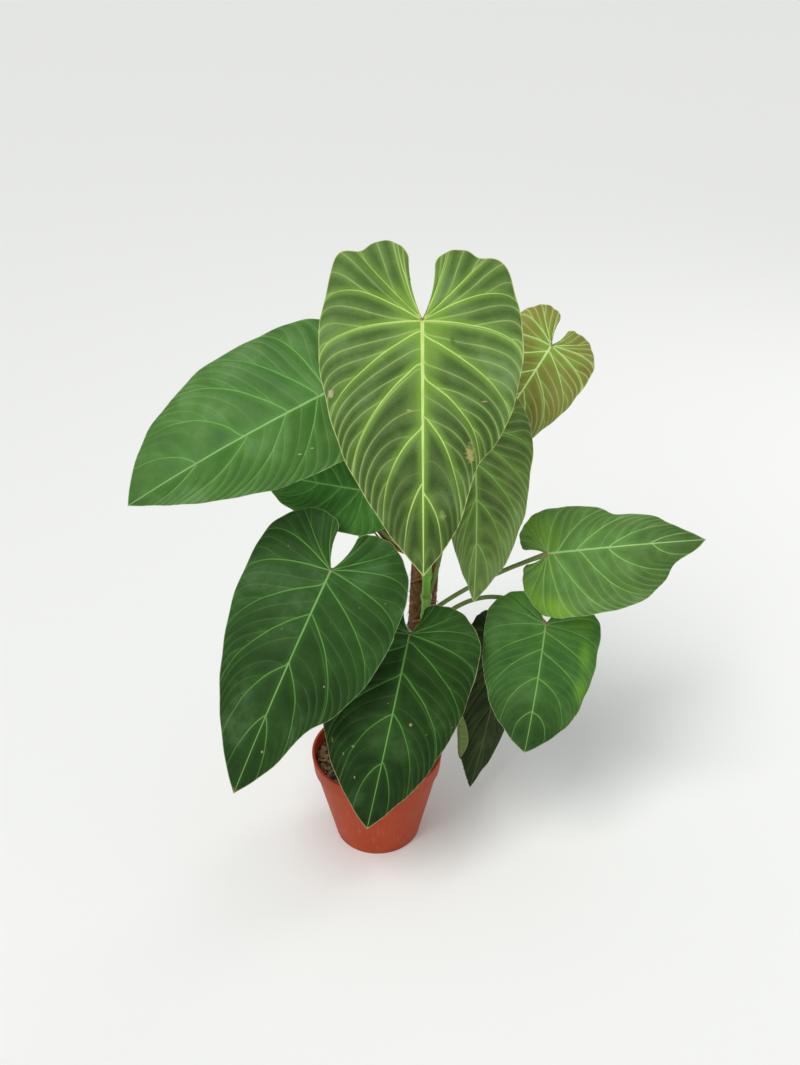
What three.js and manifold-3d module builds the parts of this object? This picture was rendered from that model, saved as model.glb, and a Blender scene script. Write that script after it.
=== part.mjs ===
// A potted climbing philodendron: a nursery pot of soil, a coir pole, the stem that climbs it and ten leaves.
// Millimetres, +Z up. The pot's base is centred on the origin and the plant's front faces -Y.
import * as THREE from 'three';
import { mergeVertices } from 'three/addons/utils/BufferGeometryUtils.js';
import Module from 'manifold-3d';

const wasm = await Module();
wasm.setup();

// Driving dimensions
const gap = 0.3;
const pot = {
  rimRadius: 75, baseRadius: 50, height: 118, wall: 1.8, floor: 2.5,
  bandHeight: 22, bandStep: 2.4, lip: 1.2, segments: 32,
  drains: 6, drainRadius: 5, drainCircle: 37,
};
const soil = { top: 104, relief: 2.4, rings: 5, segments: 28 };
const pole = {
  footX: 43, footY: 10, lean: 2.2, radius: 14, relief: 0.8, wrap: 4,
  below: 60, above: 458, sides: 14, ringStep: 20,
  coreSides: 12, coreBelow: 78, coreAbove: 462,
};
const stem = {
  radius: 4.7, tipRadius: 1.2, taper: 60, bottom: 72, top: 512, around: 7, swing: 3, swingFrom: 318,
  swingLength: 55, sides: 7, steps: 54, nodeSwell: 1.3, nodeLength: 4, scars: [361],
};
const roots = {
  radius: 1.1, sides: 5, steps: 7, drop: 9, reach: 58, below: 7,
  nodes: ['right', 'lower_right', 'mid_left', 'young_right', 'lower_left'],
};
const petiole = { radius: 2.4, baseRadius: 4.4, flare: 22, sides: 6, steps: 12 };
const blade = { thickness: 0.8, rib: 1.1, quilt: 1.3, wave: 2, waves: 2.5, rowsPerPanel: 2 };
const columns = [0, 0.08, 0.36, 0.69, 1]; // steps from the midrib to the margin
const tie = { width: 4, thickness: 1, heights: [281, 462] };
const sheath = {
  thickness: 0.7, inner: 5.6, outer: 10, opening: 100, columns: 6, rows: 5, length: 60, ragged: 8,
};
const sheathed = ['mid_left', 'upper_left', 'low_front'];

// Half a blade at unit length: the round of the lobe, then the flank from the widest point to the tip
const widest = 0.405;
const lobeDepth = 0.3;
const bumpCentre = 0.3;
const sides = ['left', 'right'];
const lobeCurve = [[0.052, -0.235], [0.08, -0.36], [0.41, -0.33], [widest, 0.08]];
const flankCurve = [[widest, 0.08], [0.4, 0.5], [0.17, 0.8], [0, 1]];
// Each main vein: where it leaves the midrib, where it meets the margin (0 to 1 round the lobe, 2 at the
// tip), how far out its bend lies, and how far the bend is pulled back: as a share of the lobe's length for
// the first five, and of the half width for the rest. The first and last bound the blade.
const veins = [
  [0, 0, 1.1, 0.04], [0, 0.2, 0.8, 0.07], [0, 0.54, 0.65, 0.1], [0, 0.86, 0.8, 0.5], [0, 1.07, 1, 0.22],
  [0.045, 1.265, 0.95, -0.04], [0.19, 1.49, 1.05, 0], [0.395, 1.71, 1, 0.38], [0.655, 1.86, 1, 0.5],
  [1, 2, 0.9, 0.8],
];

// Each leaf: the junction of petiole and blade, the tip, and the way the upper face looks. Pairs are for
// the left and right half, seen with the tip down: half width, lobe length, fullness near the tip and wing
// angle. arch is the blade's rise, and bumps are [half, place on the margin, width, size]. node, leave and
// arrive are the petiole's height on the stem and the handles of its curve.
const leafDefaults = { arch: 8, wings: [0, 0], full: [1, 1], bumps: [] };
const leaves = {
  top: {
    junction: [45, -110, 672], tip: [46, -215, 487], faces: [-0.02, -0.9, 0.43],
    halves: [86, 83], lobes: [70, 62], arch: 9, color: 0x86a83a,
    bumps: [
      ['right', 1.52, 0.17, -14], ['left', 0.5, 0.07, -3], ['left', 0.66, 0.09, 8], ['right', 0.5, 0.08, -3],
      ['right', 0.66, 0.1, 5],
    ],
    node: 486, leave: [-26, -44, 46], arrive: [3, 30, -75],
  },
  upper_left: {
    junction: [-39, -60, 587], tip: [-223, -100, 491], faces: [-0.1, -0.8, 0.6],
    halves: [80, 64], lobes: [50, 46], full: [2.2, 1], arch: 10, wings: [-8, -25],
    bumps: [['left', 1.3, 0.2, 3]], color: 0x3f8a34,
    node: 236, leave: [-70, 24, 60], arrive: [4, 110, -60],
  },
  mid_left: {
    junction: [-9, -30, 470], tip: [-117, 5, 474], faces: [0, -0.93, 0.36],
    halves: [46, 46], lobes: [32, 32], full: [1.3, 1.3], wings: [-5, -8], color: 0x3a7a30,
    node: 385, leave: [-34, -6, 14], arrive: [6, 4, -48],
  },
  lower_left: {
    junction: [-40, -90, 415], tip: [-134, -190, 224], faces: [-0.12, -0.84, 0.52],
    halves: [82, 80], lobes: [50, 48], full: [1.2, 1], arch: 10, wings: [-10, -10],
    bumps: [['right', 1.2, 0.25, 4], ['right', 1.58, 0.12, -11]], color: 0x2c6a30,
    node: 208, leave: [-38, -8, 60], arrive: [10, 52, -28],
  },
  low_front: {
    junction: [36, -80, 334], tip: [-7, -165, 153], faces: [0.02, -0.88, 0.46],
    halves: [82, 76], lobes: [34, 34], full: [1.4, 1.2], arch: 9, wings: [-8, -8], color: 0x28622c,
    node: 170, leave: [-4, -34, 36], arrive: [4, 40, -50],
  },
  mid_right: {
    junction: [95, -50, 546], tip: [96, -115, 395], faces: [0.3, -0.85, 0.4],
    halves: [36, 58], lobes: [36, 40], full: [1, 1.4], wings: [-30, 0], color: 0x3f7f33,
    node: 334, leave: [20, 2, 40], arrive: [-26, 34, -90],
  },
  young_right: {
    junction: [173, 30, 597], tip: [101, -10, 493], faces: [0.1, -0.86, 0.5],
    halves: [45, 50], lobes: [32, 25], full: [1, 1.3], arch: 6, wings: [0, -6], color: 0x7e8a3c,
    node: 440, leave: [40, 0, 40], arrive: [10, 30, -60],
  },
  right: {
    junction: [174, -40, 404], tip: [324, -60, 432], faces: [0, -0.78, 0.62],
    halves: [66, 46], lobes: [28, 28], full: [1.2, 1], wings: [-6, -6], color: 0x45953a,
    bumps: [
      ['left', 1.4, 0.16, 6], ['left', 1.78, 0.1, -7], ['right', 1.36, 0.1, -5], ['right', 1.6, 0.08, 2],
    ],
    node: 310, leave: [38, -16, 46], arrive: [-46, 10, -26],
  },
  lower_right: {
    junction: [176, -50, 325], tip: [155, -110, 206], faces: [0.05, -0.88, 0.47],
    halves: [62, 60], lobes: [30, 30], full: [1.6, 1.9], arch: 7, wings: [-6, -6], color: 0x357a34,
    node: 286, leave: [36, -12, 62], arrive: [-34, 44, 24],
  },
  low_back: {
    junction: [143, 45, 238], tip: [110, 10, 49], faces: [0.35, -0.85, 0.4],
    halves: [46, 44], lobes: [36, 36], full: [1.3, 1.3], wings: [0, -20], color: 0x1f4d28,
    node: 140, leave: [40, 4, 20], arrive: [-28, 22, -30],
  },
};

const colors = {
  pot: 0xa8472c, soil: 0x33251c, core: 0x8a6a45, coir: 0x5c4030, stem: 0x5f9a36, petiole: 0x4f8a3a,
  tie: 0xd9b9a6, sheath: 0x8a4a30,
};

const degrees = Math.PI / 180;

// Solids and their geometry

function weld(geometry) {
  const bare = geometry.clone();
  bare.deleteAttribute('normal');
  bare.deleteAttribute('uv');
  return mergeVertices(bare, 1e-3);
}

function signedVolume(positions, indices) {
  const [a, b, c] = [new THREE.Vector3(), new THREE.Vector3(), new THREE.Vector3()];
  let sum = 0;
  for (let i = 0; i < indices.length; i += 3) {
    [a, b, c].forEach((corner, n) => corner.fromArray(positions, 3 * indices[i + n]));
    sum += a.dot(b.cross(c)) / 6;
  }
  return sum;
}

function toManifold(geometry) {
  const merged = weld(geometry);
  const vertProperties = new Float32Array(merged.getAttribute('position').array);
  const source = merged.getIndex().array;
  const corners = [];
  for (let i = 0; i < source.length; i += 3) {
    const [a, b, c] = [source[i], source[i + 1], source[i + 2]];
    if (a !== b && b !== c && c !== a) corners.push(a, b, c);
  }
  if (signedVolume(vertProperties, corners) < 0) corners.reverse();
  return new wasm.Manifold(new wasm.Mesh({ numProp: 3, vertProperties, triVerts: new Uint32Array(corners) }));
}

function toGeometry(manifold) {
  const mesh = manifold.getMesh();
  const geometry = new THREE.BufferGeometry();
  geometry.setAttribute('position', new THREE.BufferAttribute(new Float32Array(mesh.vertProperties), 3));
  geometry.setIndex(new THREE.BufferAttribute(new Uint32Array(mesh.triVerts), 1));
  geometry.computeVertexNormals();
  return geometry;
}

function regularSection(sides) {
  const corners = Array.from({ length: sides }, (_, i) => {
    const angle = (2 * Math.PI * i) / sides;
    return new THREE.Vector2(Math.cos(angle), Math.sin(angle));
  });
  return new THREE.Shape(corners);
}

// A closed tube along a curve, drawn 1 mm thick and then given its radius at each step
function tube(curve, steps, sides, radiusAt) {
  const geometry = new THREE.ExtrudeGeometry(regularSection(sides), { steps, extrudePath: curve });
  const spine = curve.getSpacedPoints(steps);
  const position = geometry.getAttribute('position');
  const corner = new THREE.Vector3();
  for (let i = 0; i < position.count; i++) {
    corner.fromBufferAttribute(position, i);
    const distances = spine.map((point) => point.distanceToSquared(corner));
    const nearest = distances.indexOf(Math.min(...distances));
    corner.sub(spine[nearest]).setLength(radiusAt(nearest / steps, spine[nearest])).add(spine[nearest]);
    position.setXYZ(i, corner.x, corner.y, corner.z);
  }
  return geometry;
}

// A thin curved sheet with both faces split into the same triangles; thickness gives the part above and below
function thinShell(grid, thickness) {
  const rows = grid.length;
  const cols = grid[0].length;
  const middle = new THREE.BufferGeometry().setFromPoints(grid.flat());
  const faces = [];
  for (let i = 0; i < rows - 1; i++) {
    for (let j = 0; j < cols - 1; j++) {
      const [a, b, c, d] = [i * cols + j, i * cols + j + 1, (i + 1) * cols + j + 1, (i + 1) * cols + j];
      faces.push([a, c, b], [a, d, c]);
    }
  }
  middle.setIndex(faces.flat());
  const merged = mergeVertices(middle, 1e-3);
  const same = weldedIndex(grid.flat(), merged);
  merged.computeVertexNormals();
  const points = [];
  const normals = merged.getAttribute('normal');
  const centres = merged.getAttribute('position');
  for (const sign of [1, -1]) {
    for (let n = 0; n < rows * cols; n++) {
      const normal = new THREE.Vector3().fromBufferAttribute(normals, same[n]);
      const centre = new THREE.Vector3().fromBufferAttribute(centres, same[n]);
      points.push(centre.addScaledVector(normal, sign * thickness(Math.floor(n / cols), n % cols, sign)));
    }
  }
  const under = rows * cols;
  const border = [];
  for (let j = 0; j < cols - 1; j++) border.push([j, j + 1]);
  for (let i = 0; i < rows - 1; i++) border.push([i * cols + cols - 1, (i + 1) * cols + cols - 1]);
  for (let j = cols - 1; j > 0; j--) border.push([(rows - 1) * cols + j, (rows - 1) * cols + j - 1]);
  for (let i = rows - 1; i > 0; i--) border.push([i * cols, (i - 1) * cols]);
  const closed = [...faces];
  for (const [a, b, c] of faces) closed.push([under + a, under + c, under + b]);
  for (const [a, b] of border) closed.push([a, b, under + b], [a, under + b, under + a]);
  const geometry = new THREE.BufferGeometry().setFromPoints(points);
  geometry.setIndex(closed.flat());
  return geometry;
}

function weldedIndex(points, merged) {
  const position = merged.getAttribute('position');
  const found = new Map();
  const keyOf = (p) => [p.x, p.y, p.z].map((value) => Math.round(value * 500)).join();
  const corner = new THREE.Vector3();
  for (let i = 0; i < position.count; i++) found.set(keyOf(corner.fromBufferAttribute(position, i)), i);
  return points.map((point) => found.get(keyOf(point.clone().fromArray(point.toArray().map(Math.fround)))));
}

// The pole leans a little to the right; the stem climbs its front

function leanPole(geometry) {
  return geometry.rotateY(pole.lean * degrees).translate(pole.footX, pole.footY, soil.top);
}

function poleCentre(z) {
  return new THREE.Vector3(pole.footX + (z - soil.top) * Math.tan(pole.lean * degrees), pole.footY, z);
}

function besidePole(z, angle, distance) {
  const [across, forward] = [Math.sin(angle * degrees), -Math.cos(angle * degrees)];
  return poleCentre(z).add(new THREE.Vector3(distance * across, distance * forward, 0));
}

function stemAngle(z) {
  return stem.around - stem.swing * Math.sin((z - stem.swingFrom) / stem.swingLength);
}

function stemCentre(z) {
  return besidePole(z, stemAngle(z), pole.radius + pole.relief + stem.radius + stem.nodeSwell + gap);
}

const nodeHeights = [...stem.scars, ...Object.values(leaves).map((leaf) => leaf.node)];
const stemLevels = Array.from({ length: 23 }, (_, i) => stem.bottom + ((stem.top - stem.bottom) * i) / 22);
const stemCurve = new THREE.CatmullRomCurve3(stemLevels.map(stemCentre));

function stemRadius(share, centre) {
  const swell = nodeHeights.reduce((sum, z) => sum + Math.exp(-(((centre.z - z) / stem.nodeLength) ** 2)), 0);
  const taper = Math.sqrt(THREE.MathUtils.clamp((stem.top - centre.z) / stem.taper, 0, 1));
  return stem.tipRadius + (stem.radius - stem.tipRadius) * taper + stem.nodeSwell * Math.min(1, swell);
}

function stemTube(extra) {
  return tube(stemCurve, stem.steps, stem.sides, (share, centre) => stemRadius(share, centre) + extra);
}

// Aerial roots leave the stem under a node and cling to the pole
function rootTube(nodeHeight, way, extra) {
  const points = Array.from({ length: 6 }, (_, i) => {
    const share = i / 5;
    const z = nodeHeight - roots.below - roots.drop * share;
    const distance = pole.radius + pole.relief + gap + roots.radius + (1 - share) ** 4 * stem.radius;
    return besidePole(z, stemAngle(z) + way * roots.reach * share, distance);
  });
  return tube(new THREE.CatmullRomCurve3(points), roots.steps, roots.sides, () => roots.radius + extra);
}

function stemWithRoots(extra) {
  let solid = toManifold(stemTube(extra));
  for (const [i, name] of roots.nodes.entries()) {
    solid = solid.add(toManifold(rootTube(leaves[name].node, i % 2 ? 1 : -1, extra)));
  }
  return solid;
}

// Pot, soil and pole

function potGeometry() {
  const bodyTop = pot.height - pot.bandHeight;
  const bodyRadius = pot.rimRadius - pot.bandStep - 2;
  const profile = [
    [0, 0], [pot.baseRadius - 2, 0], [pot.baseRadius, 2], [bodyRadius, bodyTop],
    [bodyRadius + pot.bandStep, bodyTop + 1], [pot.rimRadius, pot.height - 1],
    [pot.rimRadius - 0.6, pot.height],
    [pot.rimRadius - pot.wall - pot.lip, pot.height], [pot.rimRadius - pot.wall - pot.lip, pot.height - 2],
    [pot.rimRadius - pot.wall - 0.6, pot.height - 3], [bodyRadius - pot.wall + 1.6, bodyTop],
    [bodyRadius - pot.wall - 0.4, bodyTop - 3], [pot.baseRadius - pot.wall + 0.3, pot.floor], [0, pot.floor],
  ].map(([radius, height]) => new THREE.Vector2(radius, height));
  const walls = new THREE.LatheGeometry(profile, pot.segments).rotateX(Math.PI / 2);
  let solid = toManifold(walls);
  for (let i = 0; i < pot.drains; i++) {
    const angle = (2 * Math.PI * i) / pot.drains;
    const hole = new THREE.CylinderGeometry(pot.drainRadius, pot.drainRadius, 4 * pot.floor, 10);
    hole.rotateX(Math.PI / 2);
    hole.translate(pot.drainCircle * Math.cos(angle), pot.drainCircle * Math.sin(angle), pot.floor / 2);
    solid = solid.subtract(toManifold(hole));
  }
  return toGeometry(solid);
}

function soilRadius(z) {
  const bodyTop = pot.height - pot.bandHeight;
  const inner = pot.rimRadius - pot.bandStep - 2 - pot.wall - 0.4;
  const share = Math.min(1, (z - pot.floor) / (bodyTop - 3 - pot.floor));
  return pot.baseRadius - pot.wall + 0.3 + share * (inner - pot.baseRadius + pot.wall - 0.3) - 2 * gap;
}

function soilGeometry() {
  const bodyTop = pot.height - pot.bandHeight;
  const profile = [
    [0, pot.floor + gap], [soilRadius(pot.floor), pot.floor + gap], [soilRadius(bodyTop - 3), bodyTop - 3],
    [soilRadius(bodyTop), soil.top],
  ];
  for (let i = soil.rings - 1; i >= 0; i--) profile.push([(soilRadius(bodyTop) * i) / soil.rings, soil.top]);
  const points = profile.map(([radius, height]) => new THREE.Vector2(radius, height));
  const bed = new THREE.LatheGeometry(points, soil.segments).rotateX(Math.PI / 2);
  const position = bed.getAttribute('position');
  for (let i = 0; i < position.count; i++) {
    const [x, y, z] = [position.getX(i), position.getY(i), position.getZ(i)];
    if (z < soil.top - 0.01 || Math.hypot(x, y) > soilRadius(bodyTop) - 1) continue;
    const crumbs = Math.sin(x * 0.31 + 1.3) * Math.cos(y * 0.27) + 0.6 * Math.sin(x * 0.13 - y * 0.41);
    position.setZ(i, z + soil.relief * crumbs);
  }
  let solid = toManifold(bed);
  solid = solid.subtract(toManifold(poleHole())).subtract(toManifold(stemTube(gap)));
  return toGeometry(solid);
}

function poleHole() {
  const radius = pole.radius + pole.relief + gap;
  const bottom = -pole.coreBelow - 2 * gap;
  const top = pole.coreAbove + 2 * gap;
  const hole = new THREE.CylinderGeometry(radius, radius, top - bottom, 18).rotateX(Math.PI / 2);
  return leanPole(hole.translate(0, 0, (top + bottom) / 2));
}

function poleCoreGeometry() {
  const radius = pole.radius - pole.wrap - gap;
  const length = pole.coreBelow + pole.coreAbove;
  const core = new THREE.CylinderGeometry(radius, radius, length, pole.coreSides).rotateX(Math.PI / 2);
  return leanPole(core.translate(0, 0, (pole.coreAbove - pole.coreBelow) / 2));
}

// The coir sleeve: a ring whose outside is uneven, as wound fibre is
function coirGeometry() {
  const inner = pole.radius - pole.wrap;
  const length = pole.below + pole.above;
  const count = Math.round(length / pole.ringStep);
  const profile = [[inner, -pole.below]];
  for (let i = 0; i <= count; i++) profile.push([pole.radius, -pole.below + (length * i) / count]);
  profile.push([inner, pole.above], [inner, -pole.below]);
  const points = profile.map(([radius, height]) => new THREE.Vector2(radius, height));
  const sleeve = new THREE.LatheGeometry(points, pole.sides).rotateX(Math.PI / 2);
  const position = sleeve.getAttribute('position');
  for (let i = 0; i < position.count; i++) {
    const [x, y, z] = [position.getX(i), position.getY(i), position.getZ(i)];
    if (Math.hypot(x, y) < inner + 1) continue;
    const angle = Math.atan2(y, x);
    const lump = 0.6 * Math.sin(3 * angle + z * 0.11) + 0.4 * Math.sin(5 * angle - z * 0.23);
    const scale = 1 + (pole.relief * lump) / pole.radius;
    position.setXYZ(i, x * scale, y * scale, z);
  }
  return leanPole(sleeve);
}

// A soft tie round the pole and the stem at one height
function tieGeometry(height) {
  const angle = stemAngle(height) * degrees;
  const offset = stemCentre(height).distanceTo(poleCentre(height));
  const outline = (grow) => {
    const [big, small] = [pole.radius + pole.relief + grow, stem.radius + stem.nodeSwell + grow];
    const tangent = Math.acos((big - small) / offset);
    const path = new THREE.Path();
    path.absarc(0, 0, big, tangent, 2 * Math.PI - tangent, false);
    path.absarc(offset, 0, small, -tangent, tangent, false);
    path.closePath();
    return path;
  };
  const band = new THREE.Shape(outline(gap + tie.thickness).getPoints(12));
  band.holes.push(new THREE.Path(outline(gap).getPoints(12)));
  const ring = new THREE.ExtrudeGeometry(band, { depth: tie.width, bevelEnabled: false });
  ring.translate(0, 0, -tie.width / 2).rotateZ(angle - Math.PI / 2);
  return ring.rotateY(pole.lean * degrees).translate(...poleCentre(height).toArray());
}

// Leaves

function bezier(points, share) {
  const [a, b, c, d] = points.map(([x, y]) => new THREE.Vector2(x, y));
  return new THREE.CubicBezierCurve(a, b, c, d).getPoint(share);
}

function between(list, index, column) {
  const low = Math.min(list.length - 2, Math.floor(index));
  return THREE.MathUtils.lerp(list[low][column], list[low + 1][column], index - low);
}

function marginPoint(leaf, half, along) {
  const curve = along < 1 ? lobeCurve : flankCurve;
  const scaled = curve.map(([x, y]) => {
    const full = y > 0.6 ? leaf.full[half] : 1;
    const reach = y < 0 ? leaf.lobes[half] / lobeDepth : leaf.length;
    return [(x / widest) * leaf.halves[half] * full, y * reach];
  });
  const point = bezier(scaled, along < 1 ? along : along - 1);
  const outward = new THREE.Vector2(point.x, point.y - bumpCentre * leaf.length).normalize();
  for (const [side, place, width, size] of leaf.bumps) {
    const share = side === sides[half] ? Math.exp(-(((along - place) / width) ** 2)) : 0;
    point.addScaledVector(outward, size * share);
  }
  return point;
}

// A point of the blade's middle surface: across is 0 on the midrib, -1 on the left margin, 1 on the right one
function bladePoint(leaf, vein, across) {
  const way = Math.sign(across) || 1;
  const half = way < 0 ? 0 : 1;
  const share = Math.abs(across);
  const [begin, place, out, pull] = [0, 1, 2, 3].map((column) => between(veins, vein, column));
  const start = begin * leaf.length;
  const end = marginPoint(leaf, half, place);
  const reach = THREE.MathUtils.lerp(leaf.lobes[half], end.x, THREE.MathUtils.clamp(vein - 4, 0, 1));
  const bendY = (start + end.y) / 2 - pull * reach;
  const x = 2 * share * (1 - share) * out * end.x + share ** 2 * end.x;
  const y = (1 - share) ** 2 * start + 2 * share * (1 - share) * bendY + share ** 2 * end.y;
  const along = y / leaf.length;
  const swell = blade.quilt * Math.sin(Math.PI * (vein % 1)) * Math.sin(Math.PI * share);
  const ripple = blade.wave * share ** 2 * Math.sin(2 * Math.PI * ((blade.waves * vein) / 9 + half * 0.37));
  const fade = THREE.MathUtils.clamp(4 * (1 - along), 0, 1) * Math.min(1, vein);
  const tilt = leaf.wings[half] * degrees;
  const height = leaf.arch * 4 * along * (1 - along) + x * Math.sin(tilt) + (swell + ripple) * fade;
  return new THREE.Vector3().copy(leaf.origin).addScaledVector(leaf.axis, y)
    .addScaledVector(leaf.right, way * x * Math.cos(tilt)).addScaledVector(leaf.up, height);
}

function settle(description) {
  const leaf = { ...leafDefaults, ...description };
  leaf.origin = new THREE.Vector3(...leaf.junction);
  leaf.axis = new THREE.Vector3(...leaf.tip).sub(leaf.origin);
  leaf.length = leaf.axis.length();
  leaf.axis.normalize();
  leaf.up = new THREE.Vector3(...leaf.faces);
  leaf.up.addScaledVector(leaf.axis, -leaf.up.dot(leaf.axis)).normalize();
  leaf.right = new THREE.Vector3().crossVectors(leaf.up, leaf.axis);
  return leaf;
}

function bladeGeometry(leaf) {
  const rows = (veins.length - 1) * blade.rowsPerPanel;
  const across = [...columns.slice(1).reverse().map((share) => -share), ...columns];
  const grid = Array.from({ length: rows + 1 }, (_, i) => across.map(
    (share) => bladePoint(leaf, i / blade.rowsPerPanel, share)));
  const middle = columns.length - 1;
  return thinShell(grid, (row, column, sign) => {
    const onRib = sign < 0 && column === middle;
    const along = between(veins, row / blade.rowsPerPanel, 0);
    return blade.thickness / 2 + (onRib ? blade.rib * Math.min(1, along / 0.05) * (1 - 0.7 * along) : 0);
  });
}

// The petiole ends just under the blade, square to its lower face as it lies at the junction
function petioleCurve(leaf) {
  const arrive = new THREE.Vector3(...leaf.arrive);
  const normal = leaf.up.clone().addScaledVector(leaf.axis, (-4 * leaf.arch) / leaf.length).normalize();
  const slant = Math.sqrt(Math.max(0, 1 - (arrive.dot(normal) / arrive.length()) ** 2));
  const fold = Math.sin(Math.max(0, ...leaf.wings.map((wing) => -wing)) * degrees) / 2;
  const below = blade.thickness / 2 + gap + petiole.radius * (slant + fold);
  const start = stemCentre(leaf.node);
  const end = leaf.origin.clone().addScaledVector(normal, -below);
  const first = start.clone().add(new THREE.Vector3(...leaf.leave));
  return new THREE.CubicBezierCurve3(start, first, end.clone().add(arrive), end);
}

function largestBody(manifold) {
  return manifold.decompose().sort((a, b) => b.volume() - a.volume())[0];
}

function petioleGeometry(leaf, grownStem) {
  const curve = petioleCurve(leaf);
  const length = curve.getLength();
  const radiusAt = (share) => {
    const flare = Math.max(0, 1 - (share * length) / petiole.flare);
    return petiole.radius + (petiole.baseRadius - petiole.radius) * flare ** 2;
  };
  const stalk = toManifold(tube(curve, petiole.steps, petiole.sides, radiusAt));
  return toGeometry(largestBody(stalk.subtract(grownStem)));
}

// The dried leaf sheath: a split sleeve round the back of a petiole's foot, with a ragged end
function sheathGeometry(leaf, grownStem) {
  const curve = petioleCurve(leaf);
  const total = curve.getLength();
  const back = new THREE.Vector3(0, 1, 0);
  const grid = Array.from({ length: sheath.rows + 1 }, (_, i) => {
    const share = i / sheath.rows;
    return Array.from({ length: sheath.columns + 1 }, (__, j) => {
      const angle = ((2 * j) / sheath.columns - 1) * sheath.opening * degrees;
      const reach = share * (sheath.length + sheath.ragged * Math.sin(5 * angle));
      const tangent = curve.getTangentAt(reach / total);
      const behind = back.clone().addScaledVector(tangent, -back.dot(tangent)).normalize();
      const beside = new THREE.Vector3().crossVectors(tangent, behind);
      const radius = sheath.inner + (sheath.outer - sheath.inner) * share;
      return curve.getPointAt(reach / total)
        .addScaledVector(behind, radius * Math.cos(angle)).addScaledVector(beside, radius * Math.sin(angle));
    });
  });
  const sleeve = toManifold(thinShell(grid, () => sheath.thickness / 2));
  return toGeometry(largestBody(sleeve.subtract(grownStem).subtract(toManifold(poleHole()))));
}

const plant = new THREE.Group();

function addPiece(name, geometry, color, roughness) {
  const material = new THREE.MeshStandardMaterial({ color, roughness, metalness: 0, side: THREE.FrontSide });
  const piece = new THREE.Mesh(geometry, material);
  piece.name = name;
  plant.add(piece);
}

addPiece('pot', potGeometry(), colors.pot, 0.55);
addPiece('soil', soilGeometry(), colors.soil, 0.95);
addPiece('pole_core', poleCoreGeometry(), colors.core, 0.8);
addPiece('coir_wrap', coirGeometry(), colors.coir, 0.95);
addPiece('main_stem', toGeometry(stemWithRoots(0)), colors.stem, 0.5);
const grownStem = stemWithRoots(gap);
for (const [i, height] of tie.heights.entries()) {
  addPiece(i ? 'tie_upper' : 'tie_lower', tieGeometry(height), colors.tie, 0.6);
}
for (const [name, description] of Object.entries(leaves)) {
  const leaf = settle(description);
  addPiece(`blade_${name}`, toGeometry(toManifold(bladeGeometry(leaf))), leaf.color, 0.5);
  addPiece(`petiole_${name}`, petioleGeometry(leaf, grownStem), colors.petiole, 0.5);
  if (!sheathed.includes(name)) continue;
  addPiece(`sheath_${name}`, sheathGeometry(leaf, grownStem), colors.sheath, 0.8);
}

export default plant;
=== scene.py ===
# A potted climbing philodendron on a coir pole: the fine surfaces of every piece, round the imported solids
import math
from functools import partial

import bpy
import numpy as np
from mathutils import Euler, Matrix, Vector, noise


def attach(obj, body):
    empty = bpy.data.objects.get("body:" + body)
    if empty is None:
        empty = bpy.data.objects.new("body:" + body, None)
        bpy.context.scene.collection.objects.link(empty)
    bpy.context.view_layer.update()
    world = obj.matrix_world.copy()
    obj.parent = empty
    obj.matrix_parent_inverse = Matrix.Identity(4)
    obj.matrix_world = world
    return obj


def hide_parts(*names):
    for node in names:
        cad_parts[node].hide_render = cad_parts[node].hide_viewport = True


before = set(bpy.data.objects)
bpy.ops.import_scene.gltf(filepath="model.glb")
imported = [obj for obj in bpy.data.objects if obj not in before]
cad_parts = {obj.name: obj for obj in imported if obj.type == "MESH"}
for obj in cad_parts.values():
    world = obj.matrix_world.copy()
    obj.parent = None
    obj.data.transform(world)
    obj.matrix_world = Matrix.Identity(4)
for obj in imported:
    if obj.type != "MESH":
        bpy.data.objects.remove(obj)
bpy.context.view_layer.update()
mm = 0.001
seam = 1e-6  # corners closer than this, in metres, are merged
leafSeam = 4e-6  # the same where a blade's veins run together


# Small helpers

def linear(hexColour):
    channels = [int(hexColour[i:i + 2], 16) / 255 for i in (1, 3, 5)]
    return [c / 12.92 if c <= 0.04045 else ((c + 0.055) / 1.055) ** 2.4 for c in channels] + [1]


def addNode(tree, kind, inputs=(), result=0, **settings):
    # inputs are named, or in the sockets' order; each is a number, a hex colour or another node's output
    node = tree.nodes.new("ShaderNode" + kind)
    for name, value in settings.items():
        setattr(node, name, value)
    for key, value in inputs.items() if isinstance(inputs, dict) else enumerate(inputs):
        if isinstance(value, bpy.types.NodeSocket):
            tree.links.new(value, node.inputs[key])
        else:
            node.inputs[key].default_value = linear(value) if isinstance(value, str) else value
    return node.outputs[result] if node.outputs else node


def layered(add, colour, *coats):
    # coats of colour over the first one, each with how much of it covers
    for amount, over in coats:
        colour = add("Mix", {0: amount, 6: colour, 7: over}, 2, data_type="RGBA")
    return colour


def material(finish, *details, name=None):
    # finish draws the surface's nodes and returns the shader's inputs; relief is height, strength and depth
    name = name or finish.__name__
    if name in bpy.data.materials:
        return bpy.data.materials[name]
    made = bpy.data.materials.new(name)
    made.use_nodes = True
    made.node_tree.nodes.clear()
    add = partial(addNode, made.node_tree)
    inputs = finish(add, add("TexCoord", (), 3), *details)
    if "relief" in inputs:
        inputs["Normal"] = add("Bump", dict(zip(("Height", "Strength", "Distance"), inputs.pop("relief"))))
    add("OutputMaterial", {"Surface": add("BsdfPrincipled", inputs)})
    return made


def select(*pieces):
    # these pieces alone, with the first one active
    bpy.ops.object.select_all(action="DESELECT")
    for piece in reversed(pieces):
        piece.select_set(True)
        bpy.context.view_layer.objects.active = piece


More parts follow.
